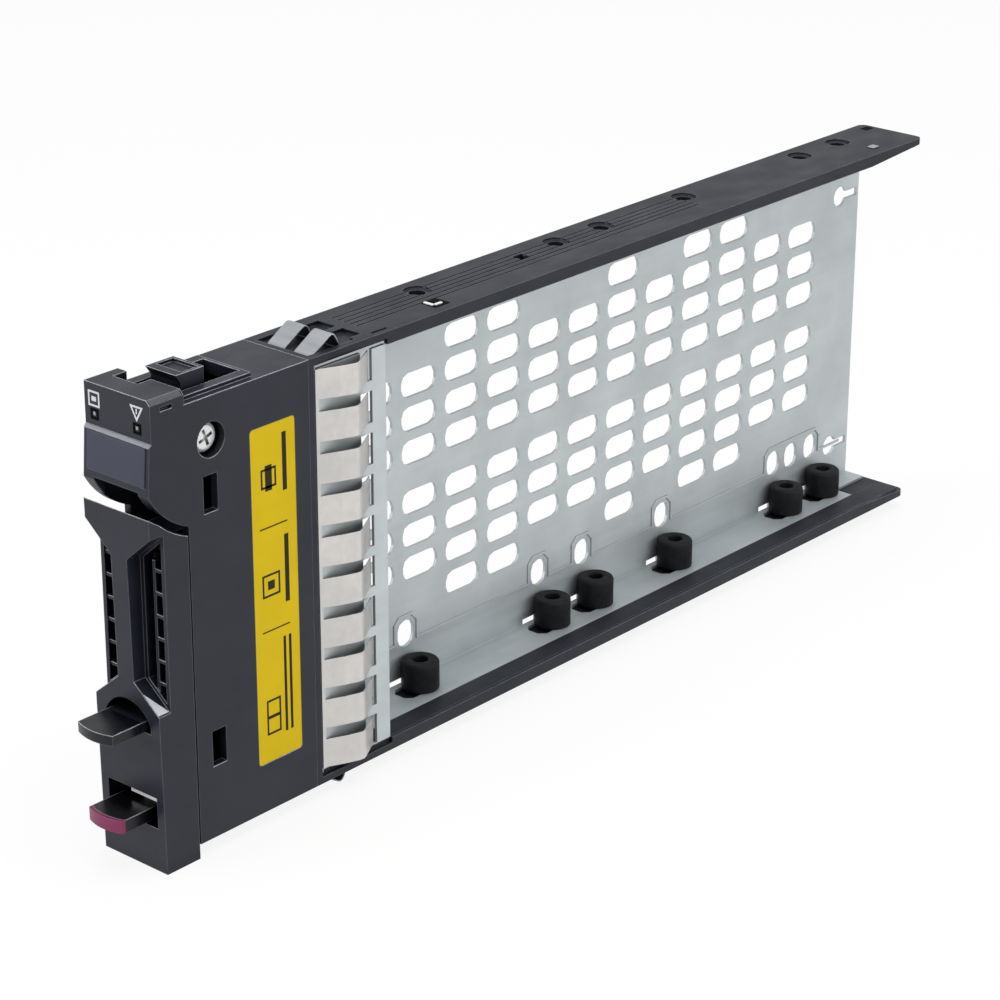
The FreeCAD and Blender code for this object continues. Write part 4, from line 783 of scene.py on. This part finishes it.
@dataclass
class HighlightBands:
    """Painted highlights: pale bands over the head's ledge and bevel, and two bright bits of the lever.

    Attributes:
        lift: Thickness of a band.
        bevel: Bevel along the head's upper edge.
        ledge: Height of the ledge under the indicators.
        step: How far the ledge stands out.
        reflection_corners: Corners of the painted reflection in the right recess, in millimetres.
    """

    finishes: Finishes
    lift: float = 0.05 * MM
    bevel: float = 0.8 * MM
    bevel_front: float = 0.3 * MM
    bevel_rear: float = 7.0 * MM
    ledge: float = 77.4 * MM
    step: float = 0.4 * MM
    over_step: float = 0.15 * MM
    under_ledge: float = 0.2 * MM
    lip_top: float = 0.6 * MM
    lip_tall: float = 0.95 * MM
    lip_front: float = 0.1 * MM
    lip_rear: float = 0.15 * MM
    reflection_corners: tuple[Triple, ...] = ((4.0, -4.1, 32.74), (7.5, -4.1, 29.87), (7.5, -1.7, 29.87))

    def build(self) -> None:
        """Build the bands."""
        self.ledge_highlight()
        self.bevel_highlight()
        self.leaf_lip()
        self.recess_reflection()

    def ledge_highlight(self) -> None:
        """Pale band over the ledge under the indicators: a painted highlight."""
        low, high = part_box("front_housing")
        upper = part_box("light_pipe_left")[0].y - self.lift
        lower = upper - self.step
        bends = ((upper, self.ledge + self.step + self.over_step), (upper, self.ledge + self.step),
                 (lower, self.ledge), (lower - self.lift, self.ledge - self.under_ledge))
        line = [Vector((low.x + self.lift, depth, height)) for depth, height in bends]
        shape = bmesh.new()
        ribbon(shape, line, high.x - low.x - 2 * self.lift)
        thicken(shape, self.lift)
        finish_piece("ledge_highlight", shape, self.finishes.made["ledge_sheen_plastic"], "base")

    def bevel_highlight(self) -> None:
        """Pale band on the bevel along the head's upper edge: a painted highlight."""
        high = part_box("front_housing")[1]
        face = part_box("light_pipe_left")[0].y
        slope = math.sqrt(2) * self.bevel
        low = Vector((-slope / 2, self.bevel_front, 0))
        shape = slab(low, Vector((slope / 2, self.bevel_rear, self.lift)), self.lift / 3)
        place = Matrix.Translation((high.x - self.bevel / 2, face, high.z - self.bevel / 2))
        bmesh.ops.transform(shape, matrix=place @ Matrix.Rotation(math.pi / 4, 4, "Y"), verts=shape.verts[:])
        finish_piece("bevel_highlight", shape, self.finishes.made["bevel_sheen_plastic"], "base")

    def leaf_lip(self) -> None:
        """Pale lip of the leaf spring, which shows in the latch window: a painted highlight."""
        low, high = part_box("latch_spring")
        top = high.z - self.lip_top
        lip = slab(Vector((low.x, low.y - self.lip_front, top - self.lip_tall)),
                   Vector((high.x, low.y + self.lip_rear, top)), self.lift)
        finish_piece("leaf_lip", lip, self.finishes.made["leaf_sheen_steel"], "lever")

    def recess_reflection(self) -> None:
        """Pale patch at the lower end of the right recess, let into the plastic: a painted reflection."""
        shape = bmesh.new()
        corners = [shape.verts.new(Vector(point) * MM) for point in self.reflection_corners]
        face = shape.faces.new(corners)
        face.normal_update()
        if face.normal.z > 0:
            face.normal_flip()
        raise_faces(shape, face.normal.normalized() * self.lift)
        finish_piece("recess_reflection_patch", shape, self.finishes.made["pale_ink_and_glint"], "lever")


@dataclass
class Indicators:
    """The indicator face: printed icons over two dark light windows."""

    finishes: Finishes
    ink: float = 0.05 * MM
    line: float = 0.34 * MM
    icon_half: float = 1.35 * MM
    icon_height: float = 82.5 * MM
    triangle_share: float = 1.35
    triangle_rise: float = 0.35 * MM
    square_core: tuple[float, float] = (1.1 * MM, 0.8 * MM)
    triangle_core: tuple[float, float] = (0.3 * MM, 0.9 * MM)
    frame_line: float = 0.3 * MM
    frame_share: float = 1.4
    glint: tuple[float, float] = (0.55 * MM, 0.6 * MM)
    glint_rise: float = 0.1 * MM

    def ring(self, sides: int, radius: float, line: float, turn: float, centre: Vector) -> bmesh.types.BMesh:
        """Thin outline of a regular shape on the indicator face.

        Args:
            sides: Number of sides.
            radius: Distance of its corners from the middle.
            line: Width of the outline.
            turn: Turn of the shape in the face, in radians.
            centre: Middle of the shape, on the face.

        Returns:
            The thin ring, a little proud of the face.
        """
        shape = bmesh.new()
        outline(shape, sides, radius, line, self.ink)
        stand = Matrix.Rotation(math.pi / 2, 4, "X") @ Matrix.Rotation(turn, 4, "Z")
        bmesh.ops.transform(shape, matrix=Matrix.Translation(centre) @ stand, verts=shape.verts[:])
        return shape

    def mark(self, name: str, centre: Vector, size: tuple[float, float], finish: str) -> None:
        """Print one small bar on the face.

        Args:
            name: Name of the piece.
            centre: Middle of the bar, on the face.
            size: Its sizes across and in height.
            finish: Name of the finish.
        """
        shape = cuboid((size[0], self.ink, size[1]), centre - Vector((0, self.ink / 2, 0)))
        finish_piece(name, shape, self.finishes.made[finish], "base")

    def build(self) -> None:
        """Print the icons and frame the light windows."""
        pale, dark = self.finishes.made["pale_ink_and_glint"], self.finishes.made["hole_shade_black"]
        for side in Side:
            label = side.value
            low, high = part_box(f"light_pipe_{label}")
            face = low.y
            middle = (low.x + high.x) / 2
            centre = Vector((middle, face, self.icon_height))
            if side is Side.LEFT:
                shape = self.ring(4, self.icon_half * math.sqrt(2), self.line, math.pi / 4, centre)
                self.mark("icon_left_core", centre, self.square_core, "pale_ink_and_glint")
            else:
                centre.z += self.triangle_rise
                shape = self.ring(3, self.icon_half * self.triangle_share, self.line, math.pi, centre)
                self.mark("icon_right_core", centre, self.triangle_core, "pale_ink_and_glint")
            finish_piece(f"icon_{label}", shape, pale, "base")
            window = Vector((middle, face, (low.z + high.z) / 2))
            corner = ((high.x - low.x) / 2 + self.frame_line) * math.sqrt(2)
            # The dark ring round each window is painted shade.
            shape = self.ring(4, corner, self.frame_line * self.frame_share, math.pi / 4, window)
            finish_piece(f"window_frame_{label}", shape, dark, "base")
            self.mark(f"window_glint_{label}", window + Vector((0, 0, self.glint_rise)), self.glint,
                      "glint_plastic")


@dataclass(frozen=True)
class Print:
    """One printed shape, in millimetres from the label's front lower corner: its middle and its size."""

    name: str
    depth: float
    height: float
    wide: float
    tall: float


@dataclass
class SideLabel:
    """Plain shapes printed on the yellow label, with no lettering."""

    finishes: Finishes
    ink: float = 0.02 * MM
    frame_line: float = 0.4 * MM
    bars: tuple[Print, ...] = (
        Print("label_bar_upper", 7.9, 54.5, 1.0, 10.5),
        Print("label_bar_middle", 7.9, 35.0, 1.0, 12.5),
        Print("label_bar_lower", 8.2, 13.5, 0.6, 18.0),
        Print("label_bar_last", 6.9, 13.5, 0.6, 18.0),
        Print("label_rule_upper", 5.0, 43.6, 6.5, 0.25),
        Print("label_rule_lower", 5.0, 24.6, 6.5, 0.25),
        Print("label_block_upper", 4.1, 52.5, 1.6, 4.6),
        Print("label_block_middle", 4.1, 33.0, 1.6, 1.6),
    )
    frames: tuple[Print, ...] = (
        Print("label_frame_upper", 4.1, 52.5, 3.6, 3.6),
        Print("label_frame_middle", 4.1, 33.0, 4.2, 4.2),
        Print("label_frame_lower", 3.9, 10.0, 3.4, 3.4),
        Print("label_frame_last", 3.9, 6.8, 3.4, 3.4),
    )

    def bar(self, mark: Print) -> bmesh.types.BMesh:
        """A filled bar on the origin of the label's face."""
        return cuboid((self.ink, mark.wide * MM, mark.tall * MM), Vector((self.ink / 2, 0, 0)))

    def frame(self, mark: Print) -> bmesh.types.BMesh:
        """A square outline on the origin of the label's face."""
        shape = bmesh.new()
        outline(shape, 4, mark.wide * MM / math.sqrt(2), self.frame_line, self.ink)
        stand = Matrix.Rotation(math.pi / 2, 4, "Y") @ Matrix.Rotation(math.pi / 4, 4, "Z")
        bmesh.ops.transform(shape, matrix=stand, verts=shape.verts[:])
        return shape

    def build(self) -> None:
        """Print the bars and outlines."""
        low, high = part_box("side_label")
        for draw, marks in ((self.bar, self.bars), (self.frame, self.frames)):
            for mark in marks:
                shape = draw(mark)
                place = Vector((high.x, low.y + mark.depth * MM, low.z + mark.height * MM))
                bmesh.ops.translate(shape, vec=place, verts=shape.verts[:])
                finish_piece(mark.name, shape, self.finishes.made["label_ink"], "base")


@dataclass
class DressedNodes:
    """CAD nodes that keep their shape and get a finish."""

    finishes: Finishes
    plan: dict[str, str] = field(default_factory=lambda: {
        "front_housing": "housing_plastic",
        "handle_lever": "lever_plastic",
        "release_latch": "tab_plastic",
        "latch_cap": "cap_plastic",
        "latch_pin": "screw_steel",
        "latch_spring": "leaf_sheen_steel",
        "name_plate": "plate_plastic",
        "light_pipe_left": "lamp_window",
        "light_pipe_right": "lamp_window",
        "side_label": "label_film",
        "rail_frame": "rail_plastic",
        "drive_tray": "zinc_plate",
        "side_spring_strip": "spring_steel",
    })

    def build(self) -> None:
        """Dress every node of the plan."""
        for node, finish in self.plan.items():
            self.finishes.dress(node, finish)


# --- studio ---------------------------------------------------------------


@dataclass(frozen=True)
class Lamp:
    """One soft rectangular lamp that looks at the caddy."""

    name: str
    place: Triple
    power: float
    size: float

    def build(self, target: Vector) -> None:
        """Make the lamp and turn it to the target."""
        data = bpy.data.lights.new(self.name, "AREA")
        data.energy = self.power
        data.size = self.size
        lamp = bpy.data.objects.new(self.name, data)
        lamp.location = self.place
        lamp.rotation_euler = (target - Vector(self.place)).to_track_quat("-Z", "Y").to_euler()
        bpy.context.scene.collection.objects.link(lamp)


@dataclass
class Studio:
    """Camera, pale floor, lamps and world.

    Attributes:
        azimuth: Turn of the camera to the right of the front, in degrees.
        elevation: Height of the camera above the horizon, in degrees.
        roll: Lean of the camera to the side, in degrees.
        lens: Focal length in millimetres on a 36 mm sensor.
        camera_place: Where the camera stands, in metres.
        floor_size: Side of the floor, in metres.
        floor_glow: Share of plain white in what the camera sees of the floor.
        sky_light: Strength of the world as a light.
        target: Point that every lamp looks at.
        lamps: The lamps.
    """

    azimuth: float = 41.185
    elevation: float = 22.378
    roll: float = 0.115
    lens: float = 112.37
    camera_place: Triple = (0.35497, -0.31567, 0.25942)
    floor_size: float = 6.0
    floor_glow: float = 0.88
    sky_light: float = 0.45
    target: Triple = (0.0, 0.08, 0.045)
    lamps: tuple[Lamp, ...] = (
        Lamp("lamp_top", (0.10, 0.10, 0.95), 7.4, 0.9),
        Lamp("lamp_front", (-0.45, -0.75, 0.40), 4.5, 0.6),
        Lamp("lamp_side", (0.85, 0.25, 0.30), 2.0, 0.6),
    )

    def camera(self) -> None:
        """Place the camera at the studio's viewing angle."""
        turn, rise, lean = (math.radians(value) for value in (self.azimuth, self.elevation, self.roll))
        back = Vector((math.sin(turn) * math.cos(rise), -math.cos(turn) * math.cos(rise), math.sin(rise)))
        right = (-back).cross(Vector((0, 0, 1))).normalized()
        up = right.cross(-back)
        level = Matrix((right * math.cos(lean) + up * math.sin(lean),
                        up * math.cos(lean) - right * math.sin(lean), back)).transposed()
        data = bpy.data.cameras.new("camera")
        data.lens = self.lens
        data.sensor_width = 36.0
        data.clip_start = 0.01
        camera = bpy.data.objects.new("camera", data)
        camera.matrix_world = Matrix.Translation(self.camera_place) @ level.to_4x4()
        bpy.context.scene.collection.objects.link(camera)
        bpy.context.scene.camera = camera

    def seen_directly(self, nodes: bpy.types.Nodes, links: bpy.types.NodeLinks) -> bpy.types.NodeSocket:
        """1 for camera, glossy and transmission rays, else 0."""
        path = nodes.new("ShaderNodeLightPath")
        total = path.outputs["Is Camera Ray"]
        for name in ("Is Glossy Ray", "Is Transmission Ray"):
            larger = nodes.new("ShaderNodeMath")
            larger.operation = "MAXIMUM"
            links.new(total, larger.inputs[0])
            links.new(path.outputs[name], larger.inputs[1])
            total = larger.outputs["Value"]
        return total

    def world(self) -> None:
        """A soft grey world that shows white."""
        world = bpy.data.worlds.new("studio")
        bpy.context.scene.world = world
        world.use_nodes = True
        nodes, links = world.node_tree.nodes, world.node_tree.links
        nodes.clear()
        background = nodes.new("ShaderNodeBackground")
        output = nodes.new("ShaderNodeOutputWorld")
        strength = nodes.new("ShaderNodeMapRange")
        strength.inputs["To Min"].default_value = self.sky_light
        strength.inputs["To Max"].default_value = 1.0
        links.new(self.seen_directly(nodes, links), strength.inputs["Value"])
        links.new(strength.outputs["Result"], background.inputs["Strength"])
        links.new(background.outputs["Background"], output.inputs["Surface"])

    def floor(self) -> None:
        """A pale floor at the foot of the caddy, which keeps a faint shadow."""
        shape = bmesh.new()
        bmesh.ops.create_grid(shape, x_segments=1, y_segments=1, size=self.floor_size / 2)
        mesh = bpy.data.meshes.new("floor")
        shape.to_mesh(mesh)
        shape.free()
        material = bpy.data.materials.new("floor_paint")
        material.use_nodes = True
        nodes, links = material.node_tree.nodes, material.node_tree.links
        nodes.clear()
        paint = nodes.new("ShaderNodeBsdfDiffuse")
        paint.inputs["Color"].default_value = (0.9, 0.9, 0.9, 1)
        glow = nodes.new("ShaderNodeEmission")
        share = nodes.new("ShaderNodeMath")
        share.operation = "MULTIPLY"
        share.inputs[1].default_value = self.floor_glow
        links.new(self.seen_directly(nodes, links), share.inputs[0])
        mix = nodes.new("ShaderNodeMixShader")
        output = nodes.new("ShaderNodeOutputMaterial")
        links.new(share.outputs["Value"], mix.inputs["Fac"])
        links.new(paint.outputs["BSDF"], mix.inputs[1])
        links.new(glow.outputs["Emission"], mix.inputs[2])
        links.new(mix.outputs["Shader"], output.inputs["Surface"])
        mesh.materials.append(material)
        floor = bpy.data.objects.new("floor", mesh)
        bpy.context.scene.collection.objects.link(floor)

    def build(self) -> None:
        """Set up the studio."""
        bpy.context.scene.view_settings.view_transform = "Standard"
        self.camera()
        self.world()
        self.floor()
        for lamp in self.lamps:
            lamp.build(Vector(self.target))
        log.info("studio ready")


def main() -> None:
    """Dress the caddy, one sub-assembly after another."""
    Studio().build()
    finishes = Finishes()
    DressedNodes(finishes).build()
    PivotScrew(finishes).build()
    RailFingers(finishes).build()
    RailMarks(finishes).build()
    HighlightBands(finishes).build()
    Bumpers(finishes).build()
    Indicators(finishes).build()
    SideLabel(finishes).build()


if __name__ == "__main__":
    main()
